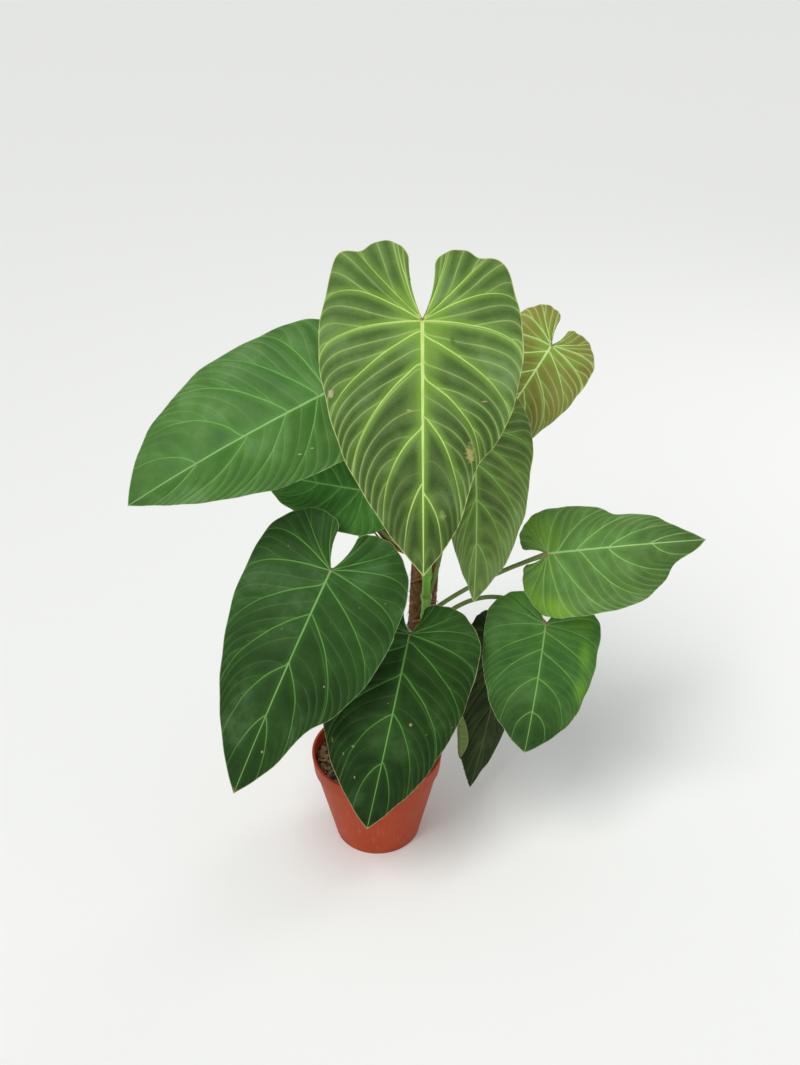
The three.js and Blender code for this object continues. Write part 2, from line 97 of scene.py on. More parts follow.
def editAll(*steps):
    # each step is one mesh operator with its settings, run on the whole active mesh
    bpy.ops.object.mode_set(mode="EDIT")
    bpy.ops.mesh.select_all(action="SELECT")
    for operator, settings in steps:
        operator(**settings)
    bpy.ops.object.mode_set(mode="OBJECT")


def closeSeams():
    editAll((bpy.ops.mesh.remove_doubles, {"threshold": seam}), (bpy.ops.mesh.normals_make_consistent, {}))


def sheetPiece(name, points):
    # a grid primitive whose vertices are moved to points[row, column], in metres
    rows, columns = points.shape[:2]
    select()
    bpy.ops.mesh.primitive_grid_add(x_subdivisions=columns - 1, y_subdivisions=rows - 1, size=1)
    piece = bpy.context.object
    piece.name = piece.data.name = name
    spots = np.rint((readPoints(piece)[:, :2] + 0.5) * [columns - 1, rows - 1]).astype(int)
    piece.data.vertices.foreach_set("co", points[spots[:, 1], spots[:, 0]].ravel())
    return piece, spots


def addField(piece, name, values):
    piece.data.attributes.new(name, "FLOAT", "POINT").data.foreach_set("value", np.ravel(values))


def readField(piece, name):
    values = np.empty(len(piece.data.vertices))
    piece.data.attributes[name].data.foreach_get("value", values)
    return values


def readPoints(piece, what="co"):
    flat = np.empty(3 * len(piece.data.vertices))
    piece.data.vertices.foreach_get(what, flat)
    return flat.reshape(-1, 3)


def writePoints(piece, points):
    piece.data.vertices.foreach_set("co", np.ravel(points))
    piece.data.update()


def applyModifier(piece, kind, **settings):
    modifier = piece.modifiers.new(kind.title(), kind)
    for name, value in settings.items():
        setattr(modifier, name, value)
    select(piece)
    bpy.ops.object.modifier_apply(modifier=modifier.name)


def finishPiece(piece, look, slot, *nodes, angle=None):
    select(piece)
    if angle is None:
        bpy.ops.object.shade_smooth()
    else:
        bpy.ops.object.shade_smooth_by_angle(angle=math.radians(angle))
    piece.data.materials.clear()
    piece.data.materials.append(look)
    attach(piece, "root")
    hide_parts(*nodes)


def unit(vectors):
    return vectors / np.maximum(np.linalg.norm(vectors, axis=-1, keepdims=True), 1e-9)


def bell(distance, width):
    return np.exp(-((distance / width) ** 2))


def bezier(corners, t):
    weights = ((1 - t) ** 3, 3 * t * (1 - t) ** 2, 3 * t ** 2 * (1 - t), t ** 3)
    return sum(weight * corner for weight, corner in zip(weights, corners))


def turnedRings(profile, turn):
    # a (radius, height) profile carried through the angles of turn round the upright axis
    radii, heights = profile[:, :1], profile[:, 1:]
    return np.stack([radii * np.cos(turn), radii * np.sin(turn), np.repeat(heights, len(turn), axis=1)], -1)


def framesAlong(centres):
    # two directions square to the path at each point, carried along it without turning
    tangents = unit(np.gradient(centres, axis=0))
    across = unit(np.cross(tangents[0], [0.31, 0.95, 0.05]))
    first = []
    for tangent in tangents:
        across = unit(across - tangent * np.dot(across, tangent))
        first.append(across)
    first = np.array(first)
    return first, np.cross(tangents, first)


def tubePiece(name, centres, radii, sides, outline=lambda angle, share: 1 + 0 * (angle + share)):
    # radii holds one value for each ring; outline(angle, ring share) scales it round the ring
    first, second = framesAlong(centres)
    angles = np.linspace(0, 2 * math.pi, sides + 1)
    shares = np.linspace(0, 1, len(centres))
    reach = (np.asarray(radii)[:, None] * outline(angles[None, :], shares[:, None]))[..., None]
    turned = first[:, None] * np.cos(angles)[:, None] + second[:, None] * np.sin(angles)[:, None]
    ends = [np.repeat(centres[i][None, None], sides + 1, axis=1) for i in (0, -1)]
    rings = np.concatenate([ends[0], centres[:, None] + reach * turned, ends[1]])
    piece, spots = sheetPiece(name, rings * mm)
    addField(piece, "alongTube", np.clip(spots[:, 1] - 1, 0, len(centres) - 1) / (len(centres) - 1))
    closeSeams()
    return piece


# Camera, floor and light

view = {"place": (26.5, -1025, 997), "downward": 30, "focalPixels": 1150, "frameHeight": 1065, "film": 36}


def addCamera():
    turn = (math.radians(90 - view["downward"]), 0, 0)
    bpy.ops.object.camera_add(location=[value * mm for value in view["place"]], rotation=turn)
    camera = bpy.context.object
    camera.data.sensor_width = view["film"]
    camera.data.lens = view["film"] * view["focalPixels"] / view["frameHeight"]
    camera.data.clip_end = 100
    bpy.context.scene.camera = camera


studio = {
    "floorSize": 80, "floorColours": ("#f6f6f3", "#eeeeea"), "world": "#f1f4f6", "worldStrength": 0.5,
    "key": {"aim": (0.45, 0.75, -1.25), "strength": 1.65, "angle": 24},
    "lamps": [  # place, aim, size, watts
        ((-0.9, -1.7, 1.9), (0, 0, 0.45), 0.9, 9),
        ((1.5, 1.1, 1.6), (0.05, 0, 0.4), 0.8, 6),
    ],
}


def seamlessPaper(add, place):
    # matte paper sweep, almost white
    pale, duller = studio["floorColours"]
    tone = layered(add, pale, (add("TexNoise", {"Scale": 3, "Detail": 2}), duller))
    return {"Base Color": tone, "Roughness": 0.95, "Specular IOR Level": 0.1}


def aimed(direction):
    return Vector(direction).to_track_quat("-Z", "Y").to_euler()


def addStudio():
    bpy.context.scene.view_settings.view_transform = "Standard"
    select()
    bpy.ops.mesh.primitive_plane_add(size=studio["floorSize"])
    floor = bpy.context.object
    floor.name = "floor"
    floor.data.materials.append(material(seamlessPaper))
    world = bpy.data.worlds.new("studio")
    bpy.context.scene.world = world
    world.use_nodes = True
    backdrop = world.node_tree.nodes["Background"].inputs
    backdrop["Color"].default_value = linear(studio["world"])
    backdrop["Strength"].default_value = studio["worldStrength"]
    key = studio["key"]
    bpy.ops.object.light_add(type="SUN", rotation=aimed(key["aim"]))
    bpy.context.object.data.energy = key["strength"]
    bpy.context.object.data.angle = math.radians(key["angle"])
    for place, aim, size, watts in studio["lamps"]:
        bpy.ops.object.light_add(type="AREA", location=place, rotation=aimed(Vector(aim) - Vector(place)))
        lamp = bpy.context.object.data
        lamp.shape = "DISK"
        lamp.size = size
        lamp.energy = watts


# Materials of the pot, the soil, the pole and the ties. A noise's scale is 1000 over its size in millimetres.

def mouldedPolypropylene(add, place):
    # injection-moulded plastic, dull terracotta: fine even grain, scuffed and dusty where it is handled
    dust = add("TexNoise", {"Vector": place, "Scale": 38, "Detail": 6, "Roughness": 0.65})
    dusty = add("MapRange", (dust, 0.42, 0.72, 0, 0.55))
    streaks = add("Mapping", {"Vector": place, "Scale": (260, 260, 12)})
    scuff = add("TexNoise", {"Vector": streaks, "Scale": 1, "Detail": 3})
    scuffed = add("MapRange", (scuff, 0.6, 0.75, 0, 0.4))
    grain = add("TexNoise", {"Vector": place, "Scale": 2500, "Detail": 2})  # grain about 0.4 mm
    height = add("Math", (scuffed, -0.4, grain), operation="MULTIPLY_ADD")
    return {
        "Base Color": layered(add, "#a93a12", (dusty, "#b4522f"), (scuffed, "#be7858")),
        "Roughness": add("MapRange", (dust, 0, 1, 0.38, 0.62)), "Specular IOR Level": 0.2,
        "relief": (height, 0.35, 0.00015),
    }


def pottingMix(add, place):
    # peat with fine bark: dark, damp and loose, with paler dry crumbs
    crumb = add("TexVoronoi", {"Vector": place, "Scale": 420, "Randomness": 1}, 1)  # crumbs about 2.4 mm
    dry = add("MapRange", (add("SeparateColor", (crumb,)), 0.55, 1, 0, 0.8))
    damp = add("TexNoise", {"Vector": place, "Scale": 55, "Detail": 5})
    fine = add("TexNoise", {"Vector": place, "Scale": 900, "Detail": 4, "Roughness": 0.7})
    return {
        "Base Color": layered(add, "#382a1f", (damp, "#6a533e"), (dry, "#77614a")),
        "Roughness": 0.93, "Specular IOR Level": 0.25, "relief": (fine, 0.8, 0.0012),
    }


def barkChip(add, place):
    # composted pine bark: layered and fibrous, dry red-brown to dark brown
    tone = add("Attribute", (), 2, attribute_name="tone")
    layers = add("TexNoise", {"Vector": place, "Scale": 600, "Detail": 5, "Roughness": 0.7})
    worn = add("MapRange", (layers, 0.45, 0.75, 0, 0.6))
    return {
        "Base Color": layered(add, "#523d2a", (tone, "#9f7b57"), (worn, "#8f7256")),
        "Roughness": 0.88, "Specular IOR Level": 0.3, "relief": (layers, 0.7, 0.0006),
    }


def perliteGrain(add, place):
    # expanded volcanic glass: white, light and pitted, a little soiled
    soiled = add("TexNoise", {"Vector": place, "Scale": 500, "Detail": 4})
    colour = layered(add, "#e3ded2", (add("MapRange", (soiled, 0.4, 0.7)), "#a79a86"))
    return {"Base Color": colour, "Roughness": 0.9, "relief": (soiled, 0.5, 0.0005)}


def coirFelt(add, place):
    # coconut fibre wound and needled round the stake: matted strands in their paler fibre colour, with
    # painted shade in the dark gaps between them
    strands = []
    for turn, length in ((0.5, 90), (-0.6, 110), (0.05, 60)):  # strands about 0.6 mm wide at three slants
        slant = {"Vector": place, "Rotation": (0, turn, 0.9 * turn), "Scale": (length, length, 1500)}
        laid = add("Mapping", slant)
        strands.append(add("TexNoise", {"Vector": laid, "Scale": 1, "Detail": 3, "Roughness": 0.6}))
    crossed = add("Math", strands[:2], operation="MAXIMUM")
    strand = add("Math", (crossed, strands[2]), operation="MAXIMUM")
    stains = add("TexNoise", {"Vector": place, "Scale": 45, "Detail": 4})
    fibre = layered(add, "#ab7a4b", (stains, "#cb9a69"))
    return {
        # painted shade: the darker brown shows in the gaps between the strands
        "Base Color": layered(add, "#7b5230", (add("MapRange", (strand, 0.48, 0.72)), fibre)),
        "Roughness": 0.92, "Specular IOR Level": 0.2, "Sheen Weight": 0.15, "Sheen Roughness": 0.5,
        "Sheen Tint": "#b08a66", "relief": (strand, 1, 0.0022),
    }


def looseCoir(add, place):
    # single coconut fibres, dry and straw-brown, each of its own shade
    tone = add("Attribute", (), 2, attribute_name="tone")
    colour = layered(add, "#6d4b31", (tone, "#b08863"))
    return {"Base Color": colour, "Roughness": 0.7, "Specular IOR Level": 0.35}


def sawnPine(add, place):
    # a planed pine stake: yellow-brown grain along its length
    along = add("Mapping", {"Vector": place, "Scale": (420, 420, 9)})
    grain = add("TexNoise", {"Vector": along, "Scale": 1, "Detail": 4})
    colour = layered(add, "#8a6640", (add("MapRange", (grain, 0.35, 0.65)), "#c09a68"))
    return {"Base Color": colour, "Roughness": 0.72, "relief": (grain, 0.4, 0.0003)}


def softTape(add, place):
    # stretchy vinyl plant tape, pinkish white and matte, finely wrinkled where it is pulled
    wrinkle = add("TexNoise", {"Vector": place, "Scale": 450, "Detail": 4, "Distortion": 0.6})
    colour = layered(add, "#c9a793", (wrinkle, "#e6cdbf"))
    return {"Base Color": colour, "Roughness": 0.55, "IOR": 1.53, "relief": (wrinkle, 0.5, 0.0005)}


# Materials of the plant's stalks

def stemSkin(add, place):
    # smooth living bark, waxy bright green: paler and browner at the nodes, with pale breathing pores
    drawn = add("Mapping", {"Vector": place, "Scale": (330, 330, 26)})
    streak = add("TexNoise", {"Vector": drawn, "Scale": 1, "Detail": 3})
    pores = add("TexVoronoi", {"Vector": place, "Scale": 330})  # one pore every 3 mm
    pore = add("MapRange", (pores, 0.06, 0.16, 0.7, 0))
    scarred = add("MapRange", (add("Attribute", (), 2, attribute_name="node"), 0.35, 0.95, 0, 0.7))
    height = add("Math", (pore, 0.5, streak), operation="MULTIPLY_ADD")
    return {
        "Base Color": layered(add, "#5f9f26", (streak, "#92cf48"), (pore, "#c2d59a"), (scarred, "#8c9452")),
        "Roughness": 0.34, "IOR": 1.45, "relief": (height, 0.4, 0.0004),
    }


def rootSkin(add, place):
    # aerial roots: corky, pinkish orange at the stem and browner towards the tip
    along = add("Attribute", (), 2, attribute_name="alongTube")
    cork = add("TexNoise", {"Vector": place, "Scale": 700, "Detail": 4})
    corky = add("MapRange", (cork, 0.4, 0.7, 0, 0.5))
    return {
        "Base Color": layered(add, "#b3714d", (along, "#6e4c35"), (corky, "#c79c78")),
        "Roughness": 0.75, "relief": (cork, 0.6, 0.0004),
    }


def petioleSkin(add, place):
    # leaf stalk: olive green, finely ribbed, dotted with small pale warts and flushed pink at both ends
    along = add("Attribute", (), 2, attribute_name="alongTube")
    broad = add("TexNoise", {"Vector": place, "Scale": 60, "Detail": 4})
    flush = add("MapRange", (along, 0.93, 1, 0, 0.6))
    foot = add("MapRange", (along, 0, 0.08, 0.5, 0))
    flushed = add("Math", (flush, foot), operation="MAXIMUM")
    warts = add("TexVoronoi", {"Vector": place, "Scale": 480})  # a wart every 2 mm
    wart = add("MapRange", (warts, 0.08, 0.24, 1, 0))
    pale = add("Math", (wart, 0.45), operation="MULTIPLY")
    height = add("Math", (wart, 0.8, broad), operation="MULTIPLY_ADD")
    return {
        "Base Color": layered(add, "#546e2e", (broad, "#7b9049"), (flushed, "#a9805c"), (pale, "#b3c28a")),
        "Roughness": 0.5, "IOR": 1.42, "relief": (height, 0.5, 0.0004),
    }


def drySheath(add, place):
    # a dried leaf sheath: papery, red-brown and thin, with pale ribs along it and a torn darker edge
    along, around = (add("Attribute", (), 2, attribute_name=way + "Tube") for way in ("along", "around"))
    counted = add("Math", (around, 26), operation="MULTIPLY")
    ribs = add("Math", (counted, 0.5), operation="PINGPONG")
    ribbed = add("MapRange", (ribs, 0.3, 0.5, 0, 0.5))
    blotch = add("TexNoise", {"Vector": place, "Scale": 140, "Detail": 5})
    edge = add("MapRange", (along, 0.8, 1, 0, 0.7))
    height = add("Math", (ribs, 1.2, blotch), operation="MULTIPLY_ADD")
    return {
        "Base Color": layered(add, "#8f5334", (blotch, "#c4855a"), (ribbed, "#d8ab7e"), (edge, "#6b4029")),
        "Roughness": 0.7, "relief": (height, 0.6, 0.0005),
    }


# The blades. Lengths are in millimetres; pairs are for the left and the right half, seen with the tip down.

leafForm = {
    "widest": 0.405, "lobeDepth": 0.3, "bumpCentre": 0.3, "quilt": 1.3,
    "wave": 2, "waves": 2.5, "waveShift": 0.37, "ruffles": 2.6,
    "lobeCurve": [(0.052, -0.235), (0.08, -0.36), (0.41, -0.33), (0.405, 0.08)],
    "flankCurve": [(0.405, 0.08), (0.4, 0.5), (0.17, 0.8), (0, 1)],
    "veins": [  # leaves the midrib at, meets the margin at, how far out and how far back its bend lies
        (0, 0, 1.1, 0.04), (0, 0.2, 0.8, 0.07), (0, 0.54, 0.65, 0.1), (0, 0.86, 0.8, 0.5), (0, 1.07, 1, 0.22),
        (0.045, 1.265, 0.95, -0.04), (0.19, 1.49, 1.05, 0), (0.395, 1.71, 1, 0.38), (0.655, 1.86, 1, 0.5),
        (1, 2, 0.9, 0.8),
    ],
    "thickness": 0.6, "ribBelow": 1.3, "ribWidth": 1.7,
    "grooveDepth": 0.42, "grooveWidth": 1.5, "midribWidth": 2.2,
    "rowLength": 10, "fewestRows": 13, "crowding": 0.115, "apart": 0.004, "slideFade": 0.014,
    "sideRelief": 0.32, "sideArc": 2.2, "ribShare": 0.3, "branchReach": 0.85, "halvings": 24, "ruffle": 0.9,
    "sideVeins": (1.5, 2.4, 3, 3.4, 4.4, 5, 5, 4, 2.4),  # how many reach the margin in each panel
    # what the colours and the looks of each leaf stand for
    "colours": ("panel", "deepToneAndShade", "halo", "vein", "under", "margin", "freshAndLitGreen"),
    "looks": ("mainVeins", "sideVeins", "pleats", "rib", "glow", "gloss", "shade", "bloom", "specks"),
}

# each leaf's colours are partly its own and partly painted light and shade: the leaves that lie in shade are
# given darker colours and the lit ones paler
leaves = {
    "top": {
        "junction": (45, -110, 672), "tip": (46, -215, 487), "faces": (-0.02, -0.9, 0.43),
        "halves": (86, 83), "lobes": (70, 62), "full": (1, 1), "arch": 9, "wings": (0, 0),
        "bumps": [
            ("right", 1.52, 0.17, -14), ("left", 0.5, 0.07, -3), ("left", 0.66, 0.09, 8),
            ("right", 0.5, 0.08, -3), ("right", 0.66, 0.1, 5),
        ],
        "slides": ((-0.012, -0.034, 0.026, -0.023), (0.014, 0.038, -0.026, 0.02)),
        "node": 486, "leave": (-26, -44, 46), "arrive": (3, 30, -75), "slot": "leaf_bright",
        "colours": ("#5e783d", "#405926", "#79a43b", "#c4db7f", "#8aa65a", "#d1da8d", "#8eb649"),
        "looks": (0.95, 0.3, 0.7, 1, 0.75, 0.13, (1.36, 0.8), 0.22, 0.12),
        "flushes": [(0, 0, 60, 70, 0.55), (0, 60, 34, 80, 0.3)],
        "marks": [
            (-11, 75, 6, 1.6, "#c9b27e"), (51, 68, 6, 1.5, "#b99f72"), (25, 17, 5, 5, "#3c5a28"),
            (39, 110, 9, 15, "#b3a96c"),
            (-76, 60, 6, 6, "#c9b394"), (16, 162, 6, 9, "#93a366"),
        ],
    },
    "upper_left": {
        "junction": (-39, -60, 587), "tip": (-223, -100, 491), "faces": (-0.1, -0.8, 0.6),
        "halves": (80, 64), "lobes": (50, 46), "full": (2.2, 1), "arch": 10, "wings": (-8, -25),
        "bumps": [("left", 1.3, 0.2, 3)],
        "node": 236, "leave": (-70, 24, 60), "arrive": (4, 110, -60), "slot": "leaf_green",
        "colours": ("#4f7832", "#3b642a", "#4c8d2f", "#9cbf7d", "#6f9a5a", "#a2b77c"),
        "looks": (0.5, 0.13, 0.24, 0.62, 0.4, 0.24, (1.05, 0.95), 0.2, 0.5),
        "marks": [(39, 50, 5, 1.4, "#c3cfb4"), (39, 38, 4, 1.4, "#b9c8a8")],
    },
    "mid_left": {
        "junction": (-9, -30, 470), "tip": (-117, 5, 474), "faces": (0, -0.93, 0.36),
        "halves": (46, 46), "lobes": (32, 32), "full": (1.3, 1.3), "arch": 8, "wings": (-5, -8),
        "node": 385, "leave": (-34, -6, 14), "arrive": (6, 4, -48), "slot": "leaf_green",
        "colours": ("#4a7d32", "#376526", "#4b9232", "#97c97a", "#5f8a50", "#afbb86"),
        "looks": (0.4, 0.1, 0.3, 0.6, 0.35, 0.16, (1.05, 1), 0.08, 0.5),
    },
    "lower_left": {
        "junction": (-40, -90, 415), "tip": (-134, -190, 224), "faces": (-0.12, -0.84, 0.52),
        "halves": (82, 80), "lobes": (50, 48), "full": (1.2, 1), "arch": 10, "wings": (-10, -10),
        "bumps": [("right", 1.2, 0.25, 4), ("right", 1.58, 0.12, -11)],
        "node": 208, "leave": (-38, -8, 60), "arrive": (10, 52, -28), "slot": "leaf_dark",
        "colours": ("#2b4c1c", "#1f3b15", "#31641c", "#7ea95f", "#5d8550", "#a0af7c"),
        "looks": (0.62, 0.11, 0.24, 0.55, 0.38, 0.15, (1.5, 0.9), 0.13, 0.8),
        "marks": [(-1, 231, 7, 4, "#7a6038"), (10, 185, 3, 3, "#a9b184"), (40, 103, 2, 2, "#c2c89c")],
    },
    "low_front": {
        "junction": (36, -80, 334), "tip": (-7, -165, 153), "faces": (0.02, -0.88, 0.46),
        "halves": (82, 76), "lobes": (34, 34), "full": (1.4, 1.2), "arch": 9, "wings": (-8, -8),
        "node": 170, "leave": (-4, -34, 36), "arrive": (4, 40, -50), "slot": "leaf_dark",
        "colours": ("#2b4c1b", "#1c3411", "#2e621c", "#7aa85a", "#557d4a", "#b6b780"),
        "looks": (0.55, 0.1, 0.22, 0.5, 0.36, 0.13, (1.6, 0.6), 0.08, 1),
        "marks": [
            (20, 88, 3.4, 4.4, "#cfae86"), (-32, 123, 3.4, 3, "#b5a36f"), (-54, 121, 2, 5, "#a99667"),
            (-40, 132, 2, 4, "#a0a36c"), (-24, 152, 2, 2.6, "#b9b77c"),
        ],
    },
    "mid_right": {
        "junction": (95, -50, 546), "tip": (96, -115, 395), "faces": (0.3, -0.85, 0.4),
        "halves": (36, 58), "lobes": (36, 40), "full": (1, 1.4), "arch": 8, "wings": (-30, 0),
        "node": 334, "leave": (20, 2, 40), "arrive": (-26, 34, -90), "slot": "leaf_green",
        "colours": ("#7a954c", "#576d38", "#84ba4a", "#c5e18e", "#6f8f55", "#c2ce8f"),
        "looks": (0.62, 0.25, 0.5, 0.7, 0.55, 0.15, (1, 1), 0.2, 0.3),
    },
    "young_right": {
        "junction": (173, 30, 597), "tip": (101, -10, 493), "faces": (0.1, -0.86, 0.5),
        "halves": (45, 50), "lobes": (32, 25), "full": (1, 1.3), "arch": 6, "wings": (0, -6),
        "node": 440, "leave": (40, 0, 40), "arrive": (10, 30, -60), "slot": "leaf_young",
        "colours": ("#919347", "#7e7c38", "#89a83c", "#d8eea0", "#93935e", "#cad08c", "#83b845"),
        "looks": (0.82, 0.3, 0.42, 0.8, 0.55, 0.14, (0.92, 1.05), 0.1, 1),
        "flushes": [(0, 2, 34, 34, 0.9), (24, 4, 40, 12, 0.35), (-14, -8, 14, 34, 0.35)],
    },
    "right": {
        "junction": (174, -40, 404), "tip": (324, -60, 432), "faces": (0, -0.78, 0.62),
        "halves": (66, 46), "lobes": (28, 28), "full": (1.2, 1), "arch": 8, "wings": (-6, -6),
        "bumps": [
            ("left", 1.4, 0.16, 6), ("left", 1.78, 0.1, -7),
            ("right", 1.36, 0.1, -5), ("right", 1.6, 0.08, 2),
        ],
        "node": 310, "leave": (38, -16, 46), "arrive": (-46, 10, -26), "slot": "leaf_green",
        "colours": ("#5a7f3d", "#42602b", "#60a03a", "#b0d08b", "#759f5c", "#a7bc80", "#77a52d"),
        "looks": (0.55, 0.13, 0.2, 0.7, 0.34, 0.16, (1.46, 0.9), 0.24, 0.3),
        "flushes": [
            (24, -7, 46, 42, 0.85), (38, -26, 34, 34, 0.9), (-55, 2, 50, 28, 0.85), (-36, -22, 34, 30, 0.6),
            (-5, -6, 34, 50, 0.5),
        ],
    },
    "lower_right": {
        "junction": (176, -50, 325), "tip": (155, -110, 206), "faces": (0.05, -0.88, 0.47),
        "halves": (62, 60), "lobes": (30, 30), "full": (1.6, 1.9), "arch": 7, "wings": (-6, -6),
        "node": 286, "leave": (36, -12, 62), "arrive": (-34, 44, 24), "slot": "leaf_green",
        "colours": ("#436b2c", "#2e5022", "#4c8d2f", "#97be71", "#648d50", "#a4b77a", "#699a29"),
        "looks": (0.48, 0.08, 0.12, 0.6, 0.25, 0.15, (1.72, 0.72), 0.14, 0.6),
        "flushes": [
            (46, 27, 16, 40, 0.55), (47, 61, 20, 34, 0.6), (38, -12, 44, 34, 0.55), (-36, -18, 40, 30, 0.3),
        ],
    },
    "low_back": {
        "junction": (143, 45, 238), "tip": (110, 10, 49), "faces": (0.35, -0.85, 0.4),
        "halves": (46, 44), "lobes": (36, 36), "full": (1.3, 1.3), "arch": 8, "wings": (0, -20),
        "turned": {"half": 0, "from": 0.33, "to": 0.78, "width": 16, "radius": 2, "bend": 2.65},
        "node": 140, "leave": (40, 4, 20), "arrive": (-28, 22, -30), "slot": "leaf_dark",
        "colours": ("#2e3c1b", "#222e13", "#364c1d", "#7a8b56", "#7c8f52", "#899765"),
        "looks": (0.22, 0.05, 0.1, 0.5, 0.2, 0.12, (0.8, 1.2), 0.05, 0.5),
    },
}


def settleLeaf(leaf, draw):
    # the leaf's own directions: axis towards the tip, up off its face and right across it
    origin = np.array(leaf["junction"], float)
    axis = np.array(leaf["tip"]) - origin
    length = np.linalg.norm(axis)
    axis = axis / length
    up = np.array(leaf["faces"], float)
    up = unit(up - axis * up.dot(axis))
    leaf.update(origin=origin, axis=axis, up=up, right=np.cross(up, axis), length=length)
    leaf.setdefault("slides", draw.uniform(-0.022, 0.022, (2, 4)))
    leaf.update(zip(leafForm["looks"], leaf["looks"]))


def marginPoints(leaf, half, place):
    # the leaf's outline: the round of the lobe for places 0 to 1, the flank down to the tip for 1 to 2
    curves = []
    for curve, share in ((leafForm["lobeCurve"], place), (leafForm["flankCurve"], place - 1)):
        spread = leaf["halves"][half] / leafForm["widest"]
        corners = np.array([(
            x * spread * (leaf["full"][half] if y > 0.6 else 1),
            y * (leaf["lobes"][half] / leafForm["lobeDepth"] if y < 0 else leaf["length"]),
        ) for x, y in curve])
        curves.append(bezier(corners, np.clip(share, 0, 1)[..., None]))
    points = np.where((place < 1)[..., None], *curves)
    outward = unit(points - [0, leafForm["bumpCentre"] * leaf["length"]])
    turn = 2 * math.pi * place + leaf["length"] + 2.3 * half
    ruffle = 0.6 * np.sin(2.7 * turn) + 0.4 * np.sin(6.1 * turn)  # the margin is never a clean curve
    fade = np.clip(4 * place, 0, 1) * np.clip(6 * (2 - place), 0, 1)
    points = points + outward * (leafForm["ruffle"] * ruffle * fade)[..., None]
    for side, centre, width, size in leaf.get("bumps", ()):
        if side == ("left", "right")[half]:
            points = points + outward * (size * bell(place - centre, width))[..., None]
    return points


def halfBlade(leaf, half, vein, share):
    # across, along and height over the leaf's plane, by vein row and share of the way out to the margin
    turned = leaf.get("turned")
    rolled = bool(turned) and turned["half"] == half
    over = np.clip(share / 0.25 - 3, 0, 1) * rolled
    share = np.minimum(share / 0.75, 1) if rolled else share  # the last quarter of the columns turns over
    panels = range(len(leafForm["veins"]))
    start, place, out, pull = (np.interp(vein, panels, column) for column in zip(*leafForm["veins"]))
    start = start * leaf["length"]
    end = marginPoints(leaf, half, place)
    reach = leaf["lobes"][half] + (end[..., 0] - leaf["lobes"][half]) * np.clip(vein - 4, 0, 1)
    bendY = (start + end[..., 1]) / 2 - pull * reach
    x = 2 * share * (1 - share) * out * end[..., 0] + share ** 2 * end[..., 0]
    y = (1 - share) ** 2 * start + 2 * share * (1 - share) * bendY + share ** 2 * end[..., 1]
    # the veins leave the midrib a little higher or lower on each side
    slide = np.interp(vein, panels, (0, 0, 0, 0, 0, *leaf["slides"][half], 0)) * leaf["length"]
    y = y + slide * (1 - np.exp(-share / leafForm["slideFade"])) * (1 - share) ** 2
    along = y / leaf["length"]
    swell = leafForm["quilt"] * np.sin(math.pi * (vein % 1)) * np.sin(math.pi * share)
    turns = leafForm["waves"] * vein / 9 + half * leafForm["waveShift"]
    ripple = leafForm["wave"] * share ** 2 * np.sin(2 * math.pi * turns)
    finer = 2 * math.pi * (leafForm["ruffles"] * turns + leaf["length"])
    ripple = ripple + leafForm["ruffle"] * share ** 4 * np.sin(finer)
    fade = np.clip(4 * (1 - along), 0, 1) * np.minimum(1, vein)
    tilt = math.radians(leaf["wings"][half])
    height = leaf["arch"] * 4 * along * (1 - along) + x * math.sin(tilt) + (swell + ripple) * fade
    if rolled:  # this margin has turned over and lies on the upper face, underside out
        window = np.clip((along - turned["from"]) / (turned["to"] - turned["from"]), 0, 1) ** 1.4
        run = over * turned["width"] * np.sin(math.pi * window) ** 0.7
        bend = np.minimum(run / turned["radius"], turned["bend"])
        flat = run - bend * turned["radius"]
        x = x + turned["radius"] * np.sin(bend) + flat * math.cos(turned["bend"])
        height = height + turned["radius"] * (1 - np.cos(bend)) + flat * math.sin(turned["bend"])
    return x, y, height, math.cos(tilt)


def pitchOf(field, points):
    # how many millimetres the surface runs for one unit of the field
    down, out = np.gradient(points, axis=0), np.gradient(points, axis=1)
    changeDown, changeOut = np.gradient(field, axis=0), np.gradient(field, axis=1)
    dd, do, oo = (down ** 2).sum(-1), (down * out).sum(-1), (out ** 2).sum(-1)
    slope = oo * changeDown ** 2 - 2 * do * changeDown * changeOut + dd * changeOut ** 2
    return np.sqrt(np.maximum(dd * oo - do ** 2, 0) / np.maximum(slope, 1e-9))


def sideVeinPhase(vein, share, panel, offset):
    # side veins leave the midrib or the upper side of the panel's lower main vein and arc out to the margin
    low, high = np.zeros(vein.shape), np.ones(vein.shape)
    ribShare = leafForm["ribShare"]
    for _ in range(leafForm["halvings"]):
        place = (low + high) / 2
        start = np.minimum(place / ribShare, 1)
        branch = leafForm["branchReach"] * np.maximum(place - ribShare, 0) / (1 - ribShare)
        run = np.clip((share - branch) / (1 - branch), 0, 1)
        beyond = place + (start - place) * (1 - run) ** leafForm["sideArc"] > vein - panel
        low, high = np.where(beyond, low, place), np.where(beyond, place, high)
    return leafForm["sideVeins"][panel] * low + offset


def panelRows(panel, count):
    # rows crowd together along the main vein at each side, so that its groove is in the mesh
    steps = np.linspace(0, 1, count)
    eased = steps - np.sin(2 * math.pi * steps) * leafForm["crowding"]
    first = leafForm["apart"] if panel else 0
    last = leafForm["apart"] if panel < 8 else 0
    return panel + first + (1 - first - last) * eased


